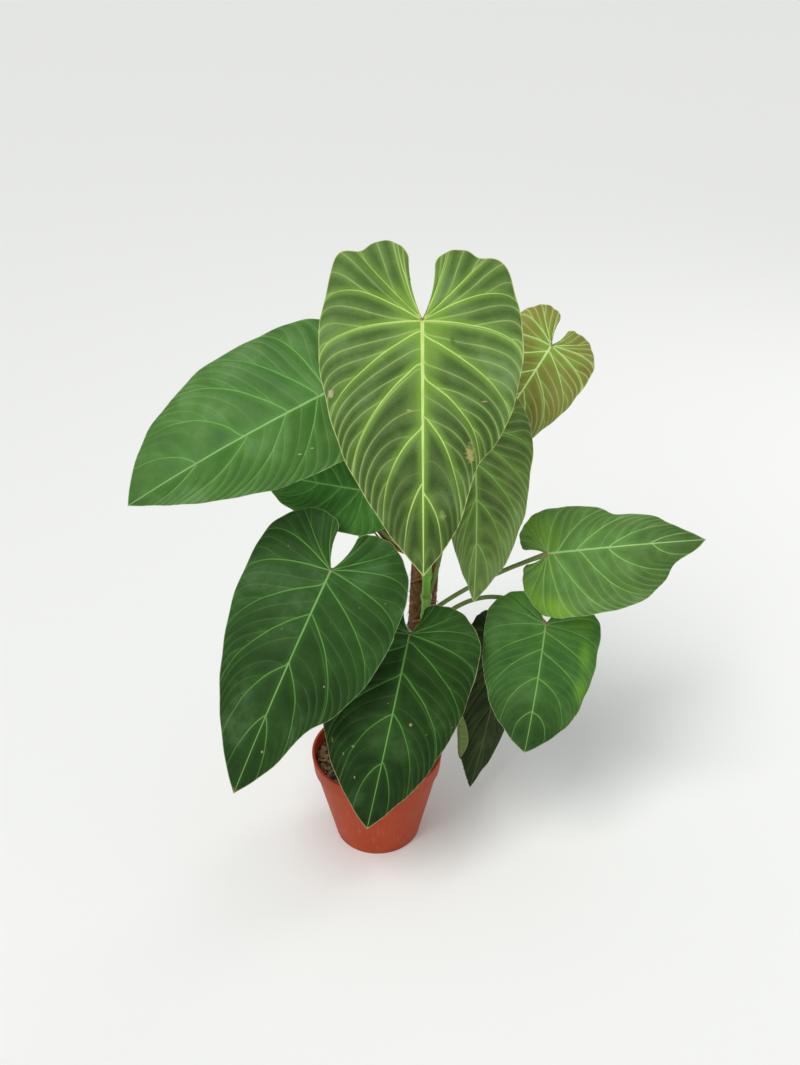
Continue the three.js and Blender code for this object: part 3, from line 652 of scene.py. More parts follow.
def panelFields(leaf, half, panel, shares, count, offset):
    # what the skin and the relief read at each point of the blade between two main veins
    vein, share = np.meshgrid(panelRows(panel, count), shares, indexing="ij")
    x, y, height, spread = halfBlade(leaf, half, vein, share)
    across = x * (-1, 1)[half]
    plain = np.stack([across, y, height], -1)
    side = sideVeinPhase(vein, share, panel, offset)
    return {
        "veinPhase": vein, "veinPitch": pitchOf(vein, plain),
        "sidePhase": side, "sidePitch": pitchOf(side, plain),
        "edgeDistance": (1 - share) * pitchOf(share, plain), "ribDistance": np.hypot(x, np.minimum(y, 0)),
        "along": np.clip(y / leaf["length"], -0.5, 1), "across": share, "place": (across * spread, y, height),
    }


def raisedPoints(leaf, fields):
    # the upper face, sunk along the veins and rippled by the side veins
    across, y, height = fields.pop("place")
    vein = fields["veinPhase"]
    toVein = np.abs(vein - np.rint(vein)) * fields["veinPitch"]
    fade = np.clip(fields["edgeDistance"] / 8, 0, 1) * np.clip(8.7 - vein, 0, 1) * np.clip(vein, 0, 1)
    groove = leafForm["grooveDepth"] * bell(toVein, leafForm["grooveWidth"]) * fade
    ending = np.clip(1.2 - y / leaf["length"], 0, 1)
    midrib = leafForm["grooveDepth"] * bell(fields["ribDistance"], leafForm["midribWidth"]) * ending
    wave = -np.cos(2 * math.pi * fields["sidePhase"])
    ripples = leafForm["sideRelief"] * wave * fade * np.clip(toVein / 4, 0, 1)
    lift = height + leafForm["thickness"] / 2 - np.maximum(groove, midrib) + ripples
    return (leaf["origin"] + leaf["axis"] * y[..., None] + leaf["right"] * across[..., None]
            + leaf["up"] * lift[..., None])


def bladePiece(name, leaf, draw):
    # both halves in one grid, joined at the midrib, then thickened and given a raised midrib underneath
    count = max(leafForm["fewestRows"], round(leaf["length"] / leafForm["rowLength"]))
    steps = np.linspace(0, 1, 2 * count + 5)
    shares = 0.35 * steps ** 2 + 0.65 * steps
    halves = []
    for half in (0, 1):
        panels = [panelFields(leaf, half, n, shares, count, draw.uniform(-0.3, 0.3)) for n in range(9)]
        fields = {field: np.concatenate([panel[field] for panel in panels], axis=-2) for field in panels[0]}
        fields["points"] = raisedPoints(leaf, fields)
        halves.append(fields)
    left, right = halves
    joined = {field: np.concatenate([right[field][:, :0:-1], left[field]], axis=1) for field in left}
    piece, spots = sheetPiece(name, joined.pop("points") * mm)
    for field, values in joined.items():
        addField(piece, field, values[spots[:, 1], spots[:, 0]])
    editAll((bpy.ops.mesh.remove_doubles, {"threshold": leafSeam}))
    count = len(piece.data.vertices)
    applyModifier(piece, "SOLIDIFY", thickness=leafForm["thickness"] * mm, offset=-1)
    underside = np.arange(len(piece.data.vertices)) >= count
    addField(piece, "underside", underside.astype(float))
    along, rib = (readField(piece, field) for field in ("along", "ribDistance"))
    depth = leafForm["ribBelow"] * (1 - 0.75 * np.clip(along, 0, 1)) * bell(rib, leafForm["ribWidth"])
    writePoints(piece, readPoints(piece) + readPoints(piece, "normal") * (depth * underside * mm)[:, None])
    return piece


def lineMask(add, distance, width, soft):
    # 1 on a line of that half width, easing to 0 over soft, in millimetres
    outer = add("Math", (width, soft), operation="ADD")
    return add("MapRange", (distance, width, outer, 1, 0), interpolation_type="SMOOTHSTEP")


def lineDistance(add, phase, pitch, drift):
    # millimetres to the nearest whole number of the phase, each line let drift a little to one side
    offset = add("Math", (phase, add("Math", (phase,), operation="ROUND")), operation="SUBTRACT")
    moved = add("Math", (offset, pitch, drift), operation="MULTIPLY_ADD")
    return add("Math", (moved,), operation="ABSOLUTE")


def leafSpot(leaf, across, along):
    # a point on the upper face, in metres, from its place across and along the blade
    share = along / leaf["length"]
    tilt = math.radians(leaf["wings"][int(across > 0)])
    height = leaf["arch"] * 4 * share * (1 - share) + abs(across) * math.sin(tilt)
    flat = leaf["axis"] * along + leaf["right"] * across * math.cos(tilt)
    return tuple((leaf["origin"] + flat + leaf["up"] * height) * mm)


def ovalMask(add, place, spot, size, torn, limits, strength, **settings):
    # an oval of that size round the spot, with its edge torn by a noise and fading between the two limits
    offset = add("VectorMath", (place, spot), operation="SUBTRACT")
    scaled = add("VectorMath", (offset, (2 / mm / size[0], 0, 2 / mm / size[1])), operation="MULTIPLY")
    reach = add("VectorMath", (scaled,), 1, operation="LENGTH")
    uneven = add("Math", (*torn, reach), operation="MULTIPLY_ADD")
    return add("MapRange", (uneven, *limits, strength, 0), **settings)


def leafSkin(add, place, leaf, seed):
    # living leaf: velvety cuticle with a soft sheen, partly painted as greyish spots, bright veins in a glow
    # of paler green, paler underneath
    colours = dict(zip(leafForm["colours"], leaf["colours"]))
    fields = ("veinPhase", "veinPitch", "sidePhase", "sidePitch", "edgeDistance", "ribDistance", "along",
              "across", "underside")
    read = {field: add("Attribute", (), 2, attribute_name=field) for field in fields}
    shifted = add("VectorMath", (place, (0.3 * seed, 0.7 * seed, 0.1 * seed)), operation="ADD")

    # no vein runs quite true: each drifts by up to half a millimetre
    sway = add("TexNoise", {"Vector": shifted, "Scale": 32, "Detail": 1})
    away = add("MapRange", (read["ribDistance"], 0, 14, 0, 2))
    centred = add("Math", (sway, 0.5), operation="SUBTRACT")
    drift = add("Math", (centred, away), operation="MULTIPLY")
    toVein = lineDistance(add, read["veinPhase"], read["veinPitch"], drift)
    outermost = add("MapRange", (read["veinPhase"], 0.35, 0.6))
    innermost = add("MapRange", (read["veinPhase"], 8.45, 8.6, 1, 0))
    counted = add("Math", (outermost, innermost), operation="MULTIPLY")
    mainLine = lineMask(add, toVein, add("MapRange", (read["across"], 0, 1, 0.42, 0.08)), 0.55)
    fading = add("MapRange", (read["across"], 0.3, 1, 1, 0.45))
    faded = add("Math", (fading, leaf["mainVeins"]), operation="MULTIPLY")
    present = add("Math", (counted, faded), operation="MULTIPLY")
    mainVein = add("Math", (mainLine, present), operation="MULTIPLY")
    thickness = leaf["rib"] * min(1.0, 0.35 + leaf["length"] / 330)
    ribWidth = add("MapRange", (read["along"], 0, 1, 1.4 * thickness, 0.12 * thickness))
    ribLine = lineMask(add, read["ribDistance"], ribWidth, 0.55)
    midrib = add("Math", (ribLine, min(1.0, 0.25 + leaf["mainVeins"])), operation="MULTIPLY")
    veins = add("Math", (mainVein, midrib), operation="MAXIMUM")

    # the glow beside the veins fades towards the margin and the tip
    closest = add("Math", (toVein, read["ribDistance"]), operation="MINIMUM")
    near = add("MapRange", (closest, 0, 8, 1, 0), interpolation_type="SMOOTHERSTEP")
    inward = add("MapRange", (read["across"], 0.1, 0.9, leaf["glow"], 0.3 * leaf["glow"]))
    glowing = add("MapRange", (read["along"], 0.45, 0.95, 1, 0.3))
    halo = add("Math", (near, add("Math", (inward, glowing), operation="MULTIPLY")), operation="MULTIPLY")

    toSide = lineDistance(add, read["sidePhase"], read["sidePitch"], drift)
    patchy = add("MapRange", (sway, 0.35, 0.62, 0.6 * leaf["sideVeins"], 1.15 * leaf["sideVeins"]))
    sideLine = lineMask(add, toSide, 0.1, 0.9)
    nearTip = add("MapRange", (read["veinPhase"], 6.4, 7.5, 1, 0.15))
    sideCount = add("Math", (patchy, nearTip), operation="MULTIPLY")
    sideVein = add("Math", (sideLine, sideCount), operation="MULTIPLY")
    # a net of fine veins, 3.7 mm wide
    cells = add("TexVoronoi", {"Vector": shifted, "Scale": 270}, feature="DISTANCE_TO_EDGE")
    net = add("MapRange", (cells, 0, 0.12, 0.07 * leaf["sideVeins"], 0))

    # the panels between the veins: darker and paler areas of their own tone, darker in the middle between
    # side veins, which is partly their own colour and partly painted shade, yellow-green areas that are
    # partly painted light, and a greyish painted sheen in soft spots
    broad = add("TexNoise", {"Vector": shifted, "Scale": 22, "Detail": 4, "Roughness": 0.6})
    # darker in the middle between side veins: partly the leaf's own darker colour, partly painted shade of
    # the quilted relief; a noise also varies the tone
    between = add("Math", (read["sidePhase"], 0.5), operation="PINGPONG")
    mixed = add("Math", (between, -leaf["pleats"], broad), operation="MULTIPLY_ADD")
    middle = 0.5 - 0.25 * leaf["pleats"]
    toneAndShadeMix = add("MapRange", (mixed, middle - 0.2, middle + 0.2))
    # painted light and shade along the blade: its brightness is scaled from the lobes to the tip, lighter
    # where it lies in light and darker where it lies in shade
    shade = add("MapRange", (read["along"], -0.2, 0.8, *leaf["shade"]))
    cloud = add("TexNoise", {"Vector": shifted, "Scale": 11, "Detail": 2})
    clouded = add("MapRange", (cloud, 0.3, 0.7, 0.82, 1.18))
    value = add("Math", (shade, clouded), operation="MULTIPLY")
    panel = layered(add, colours["deepToneAndShade"], (toneAndShadeMix, colours["panel"]))
    # yellow-green areas round given spots: partly the leaf's young colour, partly painted light where the
    # blade turns away from the light
    flushes = [
        (ovalMask(add, place, leafSpot(leaf, across, along), size, (broad, 1.1), (0.7, 1.7), strength,
                  interpolation_type="SMOOTHSTEP"), colours["freshAndLitGreen"])
        for across, along, *size, strength in leaf.get("flushes", ())]
    # painted sheen: greyish spots laid by a noise, standing in for the soft reflection on the velvety face
    bloom = add("MapRange", (broad, 0.5, 0.72, 0, leaf["bloom"]), interpolation_type="SMOOTHSTEP")
    rim = lineMask(add, read["edgeDistance"], 0.3, 0.6)
    flecks = add("TexVoronoi", {"Vector": shifted, "Scale": 75})  # one fleck every 13 mm
    torn = add("TexNoise", {"Vector": shifted, "Scale": 420, "Detail": 3})
    marks = [(0, -1, 4.5, 4.5, "#b99a74", 0.75), *[(*mark, 0.6) for mark in leaf.get("marks", ())]]
    upper = layered(
        add, add("HueSaturation", {"Color": panel, "Value": value}), *flushes,
        (bloom, "#7d9679"), (halo, colours["halo"]),
        *[(vein, colours["vein"]) for vein in (net, sideVein, veins)],
        (add("Math", (rim, 0.7), operation="MULTIPLY"), colours["margin"]),
        (add("MapRange", (flecks, 0.02, 0.05, 0.6 * leaf["specks"], 0)), "#b9c49a"),
        *[(ovalMask(add, place, leafSpot(leaf, across, along), size, (torn, 1.8), (1.4, 1.9), strength), tint)
          for across, along, *size, tint, strength in marks])
    sideBelow = add("Math", (sideLine, 0.3), operation="MULTIPLY")
    lower = layered(
        add, add("HueSaturation", {"Color": colours["under"], "Value": clouded}),
        (add("Math", (rim, 0.6), operation="MULTIPLY"), colours["margin"]),
        (add("Math", (veins, sideBelow), operation="MAXIMUM"),
         layered(add, colours["under"], (0.5, colours["vein"]))))

    # heights in millimetres: swollen between the side veins, sunk along every vein, with fine pebbling
    height = add("MapRange", (between, 0, 0.5, 0, 0.45), interpolation_type="SMOOTHSTEP")
    pebbles = add("TexVoronoi", {"Vector": shifted, "Scale": 900})
    lumps = add("TexNoise", {"Vector": shifted, "Scale": 70, "Detail": 3})
    for pattern, size in ((pebbles, 0.05), (lumps, 1.4), (sideLine, -0.12), (veins, -0.3)):
        height = add("Math", (pattern, size, height), operation="MULTIPLY_ADD")
    return {
        "Base Color": layered(add, upper, (read["underside"], lower)),
        "Roughness": add("MapRange", (broad, 0, 1, 0.46, 0.62)),
        "IOR": 1.42, "Specular IOR Level": leaf["gloss"], "relief": (height, 0.8, 0.001),
    }


def makeBlades():
    for seed, (name, leaf) in enumerate(leaves.items(), 1):
        draw = np.random.default_rng(seed)
        settleLeaf(leaf, draw)
        piece = bladePiece("blade." + name, leaf, draw)
        look = material(leafSkin, leaf, seed, name="leafSkin_" + name)
        finishPiece(piece, look, leaf["slot"], "blade_" + name)


# The pot, its soil and the pole. Lengths are in millimetres.

def turnedPiece(name, sides, profile):
    # a filled circle, extruded and resized through (radius, height) steps into a closed round body
    radius, height = profile[0]
    select()
    bpy.ops.mesh.primitive_circle_add(
        vertices=sides, radius=radius * mm, fill_type="NGON", location=(0, 0, height * mm))
    piece = bpy.context.object
    piece.name = piece.data.name = name
    bpy.ops.object.transform_apply()
    bpy.ops.object.mode_set(mode="EDIT")
    for nextRadius, nextHeight in profile[1:]:
        rise = {"value": (0, 0, (nextHeight - height) * mm)}
        bpy.ops.mesh.extrude_region_move(TRANSFORM_OT_translate=rise)
        ratio = nextRadius / radius
        bpy.ops.transform.resize(value=(ratio, ratio, 1), center_override=(0, 0, 0))
        radius, height = nextRadius, nextHeight
    bpy.ops.object.mode_set(mode="OBJECT")
    editAll((bpy.ops.mesh.normals_make_consistent, {}))
    return piece


pole = {
    "foot": (43, 10), "lean": 2.2, "radius": 14, "relief": 0.8, "wrap": 4, "below": 60, "above": 458,
    "coreRadius": 9.7, "coreBelow": 78, "coreAbove": 462, "coreSides": 40, "chamfer": 0.8, "sides": 84,
    "step": 1.9, "lap": 0.3, "matting": 0.75, "mattingSize": 4.5, "mattingHeight": 0.45,
    "fibres": {"count": 1500, "width": 0.32, "lengths": (9, 42), "slope": 0.75, "curl": 0.5, "off": 0.35},
}


def poleCentre(z):
    z = np.asarray(z, float)
    across = pole["foot"][0] + (z - soil["top"]) * math.tan(math.radians(pole["lean"]))
    return np.stack([across, np.full(z.shape, float(pole["foot"][1])), z], -1)


def besidePole(z, degrees, distance):
    # points round the pole, turned from its front towards the right
    angle = np.radians(degrees)
    return poleCentre(z) + np.stack([np.sin(angle) * distance, -np.cos(angle) * distance, 0 * angle], -1)


def leanPole(points):
    # from the pole's own upright axes, with the soil's top at 0, to its place
    turn = math.radians(pole["lean"])
    x, y, z = points[..., 0], points[..., 1], points[..., 2]
    cos, sin = math.cos(turn), math.sin(turn)
    return np.stack([x * cos + z * sin, y, z * cos - x * sin], -1) + [*pole["foot"], soil["top"]]


def roughness(points, size, seed):
    # uneven values round 0 at each point, in lumps of about that size in millimetres
    offset = Vector((13.7 * seed, 5.1 * seed, 8.3 * seed))
    values = [noise.fractal(Vector(point) / size + offset, 1.0, 2.0, 4) for point in points.reshape(-1, 3)]
    return np.reshape(values, points.shape[:-1])


pot = {
    "sides": 128, "drains": 6, "drainRadius": 5, "drainCircle": 37, "drillDepth": 20, "height": 118,
    "dent": 0.35,
    "profile": [
        (46.6, 0.9), (47, 0), (48.6, 0), (49.6, 0.6), (50, 2), (51.1, 7), (55.6, 27), (60.1, 47), (64.7, 67),
        (69.2, 87.5), (70.5, 94), (70.7, 95.5), (71.5, 96.2), (72.7, 96.5), (73.1, 97.4), (73.6, 101),
        (74.7, 113.6), (75, 116), (75, 117.2), (74.5, 117.9), (73.7, 118), (72.4, 117.8), (72, 117.2),
        (72.1, 116), (72.5, 115), (71.6, 104), (70.5, 97), (69.9, 95.4), (68.4, 93), (61, 59), (54, 27.5),
        (49, 4), (47.8, 2.7), (46, 2.5),
    ],
}


def makePot():
    piece = turnedPiece("pot.shell", pot["sides"], pot["profile"])
    corners = readPoints(piece) / mm
    x, y, z = corners.T
    # soft plastic is never quite round
    dent = pot["dent"] * np.sin(2 * np.arctan2(y, x) + 0.6) * z / pot["height"]
    outward = corners * [1, 1, 0] / np.maximum(np.hypot(x, y), 1)[:, None]
    writePoints(piece, (corners + outward * (dent - pot["dent"])[:, None]) * mm)
    for i in range(pot["drains"]):
        turn = 2 * math.pi * i / pot["drains"]
        spot = (pot["drainCircle"] * math.cos(turn) * mm, pot["drainCircle"] * math.sin(turn) * mm, 0)
        select()
        bpy.ops.mesh.primitive_cylinder_add(
            vertices=32, radius=pot["drainRadius"] * mm, depth=pot["drillDepth"] * mm, location=spot)
        drill = bpy.context.object
        applyModifier(piece, "BOOLEAN", object=drill, operation="DIFFERENCE", solver="EXACT")
        bpy.data.objects.remove(drill)
    finishPiece(piece, material(mouldedPolypropylene), "pot_plastic", "pot", angle=32)


soil = {
    "top": 104, "relief": 2.4, "edge": 71, "rings": 56, "sides": 150, "lumps": 1.3, "rise": 2.0, "dip": 1.2,
    "stemFoot": (7, 21.1),  # degrees round the pole and distance from its centre
    "clear": {"edge": 4, "pole": 2, "stem": 7},  # what is strewn keeps away from these
    "wall": [(0, 2.8), (47.9, 2.8), (67.8, 93), (69.6, 98), (70.8, 100.5)],
    # name, look, count, spans of its size, how far it sinks and tips, seed, roughness and crease angle
    "strewn": [
        ("bark", barkChip, 330, [(4, 12), (2.5, 6), (1.2, 3)], 0.15, 0.35, 4, 0.18, 40),
        ("perlite", perliteGrain, 110, [(1.6, 3.6), (1.6, 3.2), (1.4, 2.6)], 0.1, 1.5, 9, 0.12, 50),
        ("crumbs", pottingMix, 1500, [(1, 3.2), (1, 2.4), (0.8, 1.8)], 0.1, 1.5, 2, 0.2, 60),
    ],
}


def bedHeight(x, y):
    crumbs = np.sin(x * 0.31 + 1.3) * np.cos(y * 0.27) + 0.6 * np.sin(x * 0.13 - y * 0.41)
    lumps = roughness(np.stack([x, y, 0 * x], -1), 9, 3)
    return soil["top"] + 0.7 * soil["relief"] * crumbs + soil["lumps"] * lumps


def copiesPiece(name, model, copies):
    # one piece from many copies of a small model; copies holds each copy's corners, in millimetres
    faces = [list(face.vertices) for face in model.data.polygons]
    count = len(model.data.vertices)
    allFaces = [[corner + n * count for corner in face] for n in range(len(copies)) for face in faces]
    mesh = bpy.data.meshes.new(name)
    mesh.from_pydata((np.reshape(copies, (-1, 3)) * mm).tolist(), [], allFaces)
    piece = bpy.data.objects.new(name, mesh)
    bpy.context.collection.objects.link(piece)
    addField(piece, "tone", np.repeat(np.random.default_rng(len(copies)).random(len(copies)), count))
    bpy.data.objects.remove(model)
    return piece


def strewnCopies(model, draw, count, sizes, sink, tip):
    # copies of a unit model strewn over the bed, clear of the pole and the stem, each pressed in a little
    corners = readPoints(model)
    clear = soil["clear"]
    reach = (soil["edge"] - clear["edge"]) * np.sqrt(draw.random(4 * count))
    turn = draw.uniform(0, 2 * math.pi, 4 * count)
    spots = np.stack([reach * np.cos(turn), reach * np.sin(turn)], -1)
    free = np.linalg.norm(spots - np.array(pole["foot"]), axis=1) > pole["radius"] + clear["pole"]
    free &= np.linalg.norm(spots - besidePole(soil["top"], *soil["stemFoot"])[:2], axis=1) > clear["stem"]
    copies = []
    for x, y in spots[free][:count]:
        size = [draw.uniform(*span) for span in sizes]
        turned = Euler((draw.normal(0, tip), draw.normal(0, tip), draw.uniform(0, 6.28))).to_matrix()
        height = bedHeight(x, y) + size[2] * (0.5 - sink)
        copies.append(corners @ (np.array(turned) @ np.diag(size)).T + [x, y, height])
    return copies


def makeSoil():
    draw = np.random.default_rng(21)
    bare = [(soil["edge"] * (1 - i / soil["rings"]), soil["top"]) for i in range(soil["rings"] + 1)]
    turn = np.linspace(0, 2 * math.pi, soil["sides"] + 1)
    rings = turnedRings(np.array(soil["wall"] + bare), turn)
    upper = rings[len(soil["wall"]):]
    x, y = upper[..., 0], upper[..., 1]
    fromPole = np.hypot(x - pole["foot"][0], y - pole["foot"][1]) - pole["radius"]
    risen = bedHeight(x, y) + soil["rise"] * np.exp(-np.maximum(fromPole, 0) / 8)
    upper[..., 2] = risen - soil["dip"] * (np.hypot(x, y) / soil["edge"]) ** 8
    bed, _ = sheetPiece("soil.bed", rings * mm)
    closeSeams()
    finishPiece(bed, material(pottingMix), "potting_mix", "soil")
    for name, look, count, sizes, sink, tip, seed, rough, crease in soil["strewn"]:
        select()
        if name == "bark":
            bpy.ops.mesh.primitive_cube_add(size=1)
        else:
            bpy.ops.mesh.primitive_ico_sphere_add(subdivisions=1, radius=0.5)
        model = bpy.context.object
        editAll((bpy.ops.transform.vertex_random, {"offset": rough, "seed": seed}))
        if name == "bark":
            applyModifier(model, "BEVEL", width=0.16, segments=1, limit_method="NONE")
        piece = copiesPiece("soil." + name, model, strewnCopies(model, draw, count, sizes, sink, tip))
        finishPiece(piece, material(look), "potting_mix", "soil", angle=crease)


def makeCore():
    length, radius, chamfer = pole["coreAbove"] + pole["coreBelow"], pole["coreRadius"], pole["chamfer"]
    wall = [(radius, z) for z in np.linspace(chamfer, length - chamfer, 40)]
    profile = [(radius - chamfer, 0), *wall, (radius - chamfer, length)]
    core = turnedPiece("pole.core", pole["coreSides"], profile)
    corners = readPoints(core) / mm - [0, 0, pole["coreBelow"]]
    writePoints(core, leanPole(corners) * mm)
    finishPiece(core, material(sawnPine), "pole_wood", "pole_core", angle=40)


def makeSleeve():
    inner = pole["radius"] - pole["wrap"] + pole["lap"]
    rows = np.arange(-pole["below"], pole["above"] + 0.1, pole["step"])
    profile = [(inner, rows[0]), *[(pole["radius"], z) for z in rows], (inner, rows[-1]), (inner, rows[0])]
    turn = np.linspace(0, 2 * math.pi, pole["sides"] + 1)
    rings = turnedRings(np.array(profile), turn)
    outer = rings[1:-2]
    lumps = 0.6 * np.sin(3 * turn + outer[..., 2] * 0.11) + 0.4 * np.sin(5 * turn - outer[..., 2] * 0.23)
    # the fibres lie round the pole, so their lumps are wider than high
    matted = roughness((outer * [1, 1, pole["mattingHeight"]])[:, :-1], pole["mattingSize"], 5)
    matted = np.concatenate([matted, matted[:, :1]], axis=1)
    swell = 1 + (pole["relief"] * lumps + pole["matting"] * matted) / pole["radius"]
    outer[..., :2] *= swell[..., None]
    sleeve, _ = sheetPiece("pole.coir", leanPole(rings) * mm)
    closeSeams()
    finishPiece(sleeve, material(coirFelt), "coir", "coir_wrap")


def makeFibres():
    draw = np.random.default_rng(8)
    fibres = pole["fibres"]
    fibre = turnedPiece("fibre", 3, [(0.5, 0), *[(1, i / 6) for i in range(1, 6)], (0.4, 1)])
    aside, off, share = (readPoints(fibre) / mm).T
    thick = off * fibres["width"] / 2
    copies = []
    for _ in range(fibres["count"]):
        length, slope = draw.uniform(*fibres["lengths"]), draw.normal(0, fibres["slope"])
        start, begin = draw.uniform(-4, pole["above"] - 2), draw.uniform(0, 2 * math.pi)
        curl, loose = draw.normal(0, fibres["curl"]), max(0, draw.normal(0, 1.1)) ** 2
        run = length * share
        around = begin + run * math.cos(slope) / pole["radius"] + aside * 0.012
        height = start + run * math.sin(slope) + curl * length * share * (1 - share) + thick
        waving = 0.5 * np.sin(run * 0.5 + begin)
        distance = pole["radius"] + fibres["off"] + waving + loose * share ** 3 + thick
        height = np.clip(height, 0, pole["above"])
        copies.append(leanPole(np.stack([np.cos(around) * distance, np.sin(around) * distance, height], -1)))
    finishPiece(copiesPiece("pole.fibres", fibre, copies), material(looseCoir), "coir", "coir_wrap")


# The stem that climbs the pole, its roots and the ties

stem = {
    "radius": 4.7, "tipRadius": 1.2, "taper": 60, "bottom": 72, "top": 512, "around": 7, "swing": 3,
    "swingFrom": 318, "swingLength": 55, "nodeSwell": 1.3, "nodeLength": 4, "scars": [361], "sides": 40,
    "clear": 0.3, "scarDepth": 0.45, "scarUp": 3.2, "scarWidth": 0.8, "stainUp": 2.4, "stainWidth": 2.2,
}


def stemAngle(z):
    return stem["around"] - stem["swing"] * np.sin((z - stem["swingFrom"]) / stem["swingLength"])


def stemCentre(z):
    distance = pole["radius"] + pole["relief"] + stem["radius"] + stem["nodeSwell"] + stem["clear"]
    return besidePole(z, stemAngle(z), distance)


def nodeHeights():
    return stem["scars"] + [leaf["node"] for leaf in leaves.values()]


def makeStem():
    z = np.arange(stem["bottom"], stem["top"] + 0.1, 1.0)
    nodes = nodeHeights()
    swell = np.minimum(1, sum(bell(z - node, stem["nodeLength"]) for node in nodes))
    scar = sum(bell(z - node - stem["scarUp"], stem["scarWidth"]) for node in nodes)
    taper = np.sqrt(np.clip((stem["top"] - z) / stem["taper"], 0, 1))
    plain = stem["tipRadius"] + (stem["radius"] - stem["tipRadius"]) * taper
    radii = plain + stem["nodeSwell"] * swell - stem["scarDepth"] * scar

    def angular(angle, share):
        return 1 + 0.018 * np.sin(3 * angle + 9 * share) + 0.01 * np.sin(7 * angle)

    piece = tubePiece("stem", stemCentre(z), radii, stem["sides"], angular)
    height = readPoints(piece)[:, 2] / mm
    addField(piece, "node", sum(bell(height - node - stem["stainUp"], stem["stainWidth"]) for node in nodes))
    finishPiece(piece, material(stemSkin), "stem", "main_stem")


roots = {
    "radius": 1.1, "drop": 9, "reach": 58, "below": 7, "clear": 0.3, "sides": 10,
    "thin": 14, "thinRadius": 0.55, "thinReach": (30, 95), "thinDrop": (4, 30),
    "nodes": ["right", "lower_right", "mid_left", "young_right", "lower_left"],
}


def makeRoots():
    draw = np.random.default_rng(31)
    routes = []
    for i, name in enumerate(roots["nodes"]):
        high = leaves[name]["node"] - roots["below"]
        routes.append((high, (-1, 1)[i % 2], roots["reach"], roots["drop"], roots["radius"]))
    for _ in range(roots["thin"]):
        high = draw.choice(nodeHeights()) - draw.uniform(3, 9)
        way = draw.choice([-1, 1])
        reach, drop = draw.uniform(*roots["thinReach"]), draw.uniform(*roots["thinDrop"])
        routes.append((high, way, reach, drop, roots["thinRadius"]))
    parts = []
    share = np.linspace(0, 1, 40)
    for high, way, reach, drop, radius in routes:
        z = high - drop * share ** 1.3
        standing = (1 - share) ** 4 * stem["radius"]
        distance = pole["radius"] + pole["relief"] + roots["clear"] + radius + standing
        route = besidePole(z, stemAngle(z) + way * reach * share, distance)
        route += 0.25 * np.sin(share[:, None] * [17, 23, 19] + high)
        parts.append(tubePiece("root", route, radius * (1.15 - 0.5 * share ** 4), roots["sides"]))
    select(*parts)
    bpy.ops.object.join()
    parts[0].name = parts[0].data.name = "stem.roots"
    finishPiece(parts[0], material(rootSkin), "stem", "main_stem")


tie = {
    "width": 4, "thickness": 1, "bevel": 0.3, "clear": 0.3, "rows": 9, "farSteps": 60, "nearSteps": 24,
    "heights": {"tie_lower": 281, "tie_upper": 462},
}


def makeTies():
    # each band runs round the far side of the pole, straight to the stem and round that
    for name, height in tie["heights"].items():
        offset = np.linalg.norm(stemCentre(height) - poleCentre(height))
        big = pole["radius"] + pole["relief"] + tie["clear"]
        small = stem["radius"] + stem["nodeSwell"] + tie["clear"]
        tangent = math.acos((big - small) / offset)
        far = np.linspace(tangent, 2 * math.pi - tangent, tie["farSteps"])
        near = np.linspace(-tangent, tangent, tie["nearSteps"])
        path = np.concatenate([
            np.stack([big * np.cos(far), big * np.sin(far)], -1),
            np.stack([offset + small * np.cos(near), small * np.sin(near)], -1)])
        path = np.concatenate([path, path[:1]])
        turn = math.radians(float(stemAngle(height))) - math.pi / 2
        x = path[:, 0] * math.cos(turn) - path[:, 1] * math.sin(turn)
        y = path[:, 0] * math.sin(turn) + path[:, 1] * math.cos(turn)
        run = np.linspace(0, 2 * math.pi, len(path))
        sag = 0.5 * np.sin(3 * run) + 0.3 * np.sin(7 * run + 1)
        across = np.linspace(-1, 1, tie["rows"])[:, None]
        z = across * tie["width"] / 2 * (1 + 0.06 * np.sin(5 * run)) + sag * 0.6 + (height - soil["top"])
        band = np.stack([*np.broadcast_arrays(x, y, z)], -1)
        piece, _ = sheetPiece(name.replace("_", "."), leanPole(band) * mm)
        closeSeams()
        applyModifier(piece, "SOLIDIFY", thickness=tie["thickness"] * mm, offset=1)
        applyModifier(piece, "BEVEL", width=tie["bevel"] * mm, segments=2, angle_limit=math.radians(50))
        finishPiece(piece, material(softTape), "tie_tape", name, angle=40)


# The petioles, which are the leaf stalks, and the dried sheaths at their feet

petiole = {
    "radius": 2.4, "baseRadius": 4.4, "flare": 22, "sides": 20, "rings": 110, "knee": 14, "kneeSwell": 0.5,
    "below": 0.9, "endShare": 0.6, "groove": 0.07, "ribbing": 0.012,
}


def pathAt(reach, run, values):
    return np.stack([np.interp(reach, run, values[:, i]) for i in range(3)], -1)


def petiolePath(leaf, count):
    normal = unit(leaf["up"] - leaf["axis"] * 4 * leaf["arch"] / leaf["length"])
    start = stemCentre(leaf["node"])
    end = leaf["origin"] - normal * petiole["below"]
    corners = [start, start + leaf["leave"], end + leaf["arrive"], end]
    path = bezier(corners, np.linspace(0, 1, count)[:, None])
    run = np.concatenate([[0], np.cumsum(np.linalg.norm(np.diff(path, axis=0), axis=1))])
    even = np.linspace(0, run[-1], count)
    return pathAt(even, run, path), even


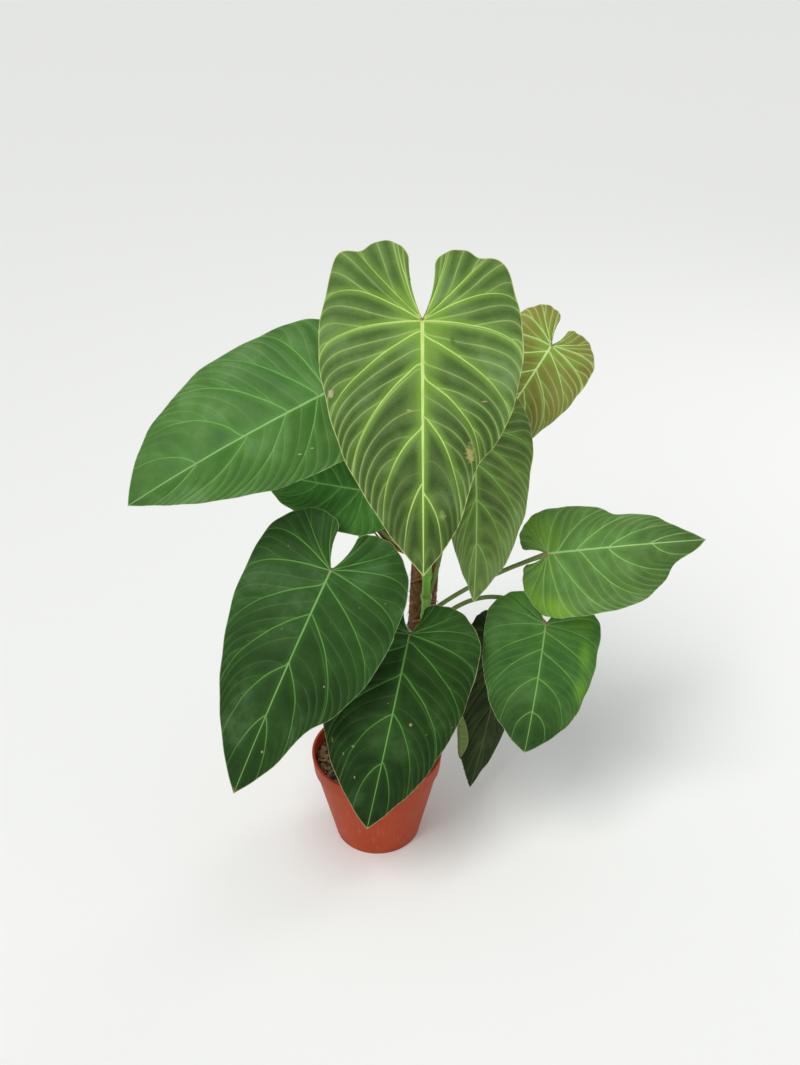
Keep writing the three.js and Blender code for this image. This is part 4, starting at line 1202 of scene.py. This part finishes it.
def makePetioles():
    for seed, (name, leaf) in enumerate(leaves.items()):
        path, run = petiolePath(leaf, petiole["rings"])
        flare = np.maximum(0, 1 - run / petiole["flare"])
        knee = bell(run[-1] - run, petiole["knee"])  # the stalk thickens where the blade hinges on it
        base = (petiole["baseRadius"] - petiole["radius"]) * flare ** 2
        radii = petiole["radius"] + base + petiole["kneeSwell"] * knee
        radii[-1] *= petiole["endShare"]

        def ribbed(angle, share):
            groove = petiole["groove"] * bell(np.cos(angle + seed) - 1, 0.12)
            return 1 - groove + petiole["ribbing"] * np.sin(9 * angle + 40 * share)

        piece = tubePiece("petiole." + name, path, radii, petiole["sides"], ribbed)
        finishPiece(piece, material(petioleSkin), "petiole", "petiole_" + name)


sheath = {
    "thickness": 0.5, "inner": 5.6, "outer": 10, "opening": 100, "length": 60, "ragged": 8, "teeth": (3.5, 2),
    "rows": 44, "columns": 56, "steps": 200, "leaves": ["mid_left", "upper_left", "low_front"],
}


def makeSheaths():
    opening = np.radians(np.linspace(-1, 1, sheath["columns"]) * sheath["opening"])
    share, angle = np.meshgrid(np.linspace(0, 1, sheath["rows"]), opening, indexing="ij")
    for seed, name in enumerate(sheath["leaves"]):
        path, run = petiolePath(leaves[name], sheath["steps"])
        wide, fine = sheath["teeth"]
        teeth = wide * np.sin(11 * angle + seed) * share ** 4
        teeth = teeth + fine * np.sin(29 * angle + 2 * seed) * share ** 6
        reach = share * (sheath["length"] + sheath["ragged"] * np.sin(5 * angle)) + teeth
        tangent = unit(pathAt(reach, run, unit(np.gradient(path, axis=0))))
        behind = unit([0, 1, 0] - tangent * tangent[..., 1:2])
        beside = np.cross(tangent, behind)
        flap = 1 + 0.25 * share ** 2 * np.sin(3 * angle + 1.7 * seed) + 0.05 * np.sin(14 * angle + 5 * share)
        radius = (sheath["inner"] + (sheath["outer"] - sheath["inner"]) * share) * flap
        points = (pathAt(reach, run, path) + behind * (radius * np.cos(angle))[..., None]
                  + beside * (radius * np.sin(angle))[..., None])
        piece, spots = sheetPiece("sheath." + name, points * mm)
        addField(piece, "alongTube", spots[:, 1] / (sheath["rows"] - 1))
        addField(piece, "aroundTube", spots[:, 0] / (sheath["columns"] - 1))
        applyModifier(piece, "SOLIDIFY", thickness=sheath["thickness"] * mm, offset=0)
        finishPiece(piece, material(drySheath), "dry_sheath", "sheath_" + name)


for stage in (addCamera, addStudio, makeBlades, makePot, makeSoil, makeCore, makeSleeve, makeFibres, makeStem,
              makeRoots, makeTies, makePetioles, makeSheaths):
    stage()
    print(stage.__name__, "done")
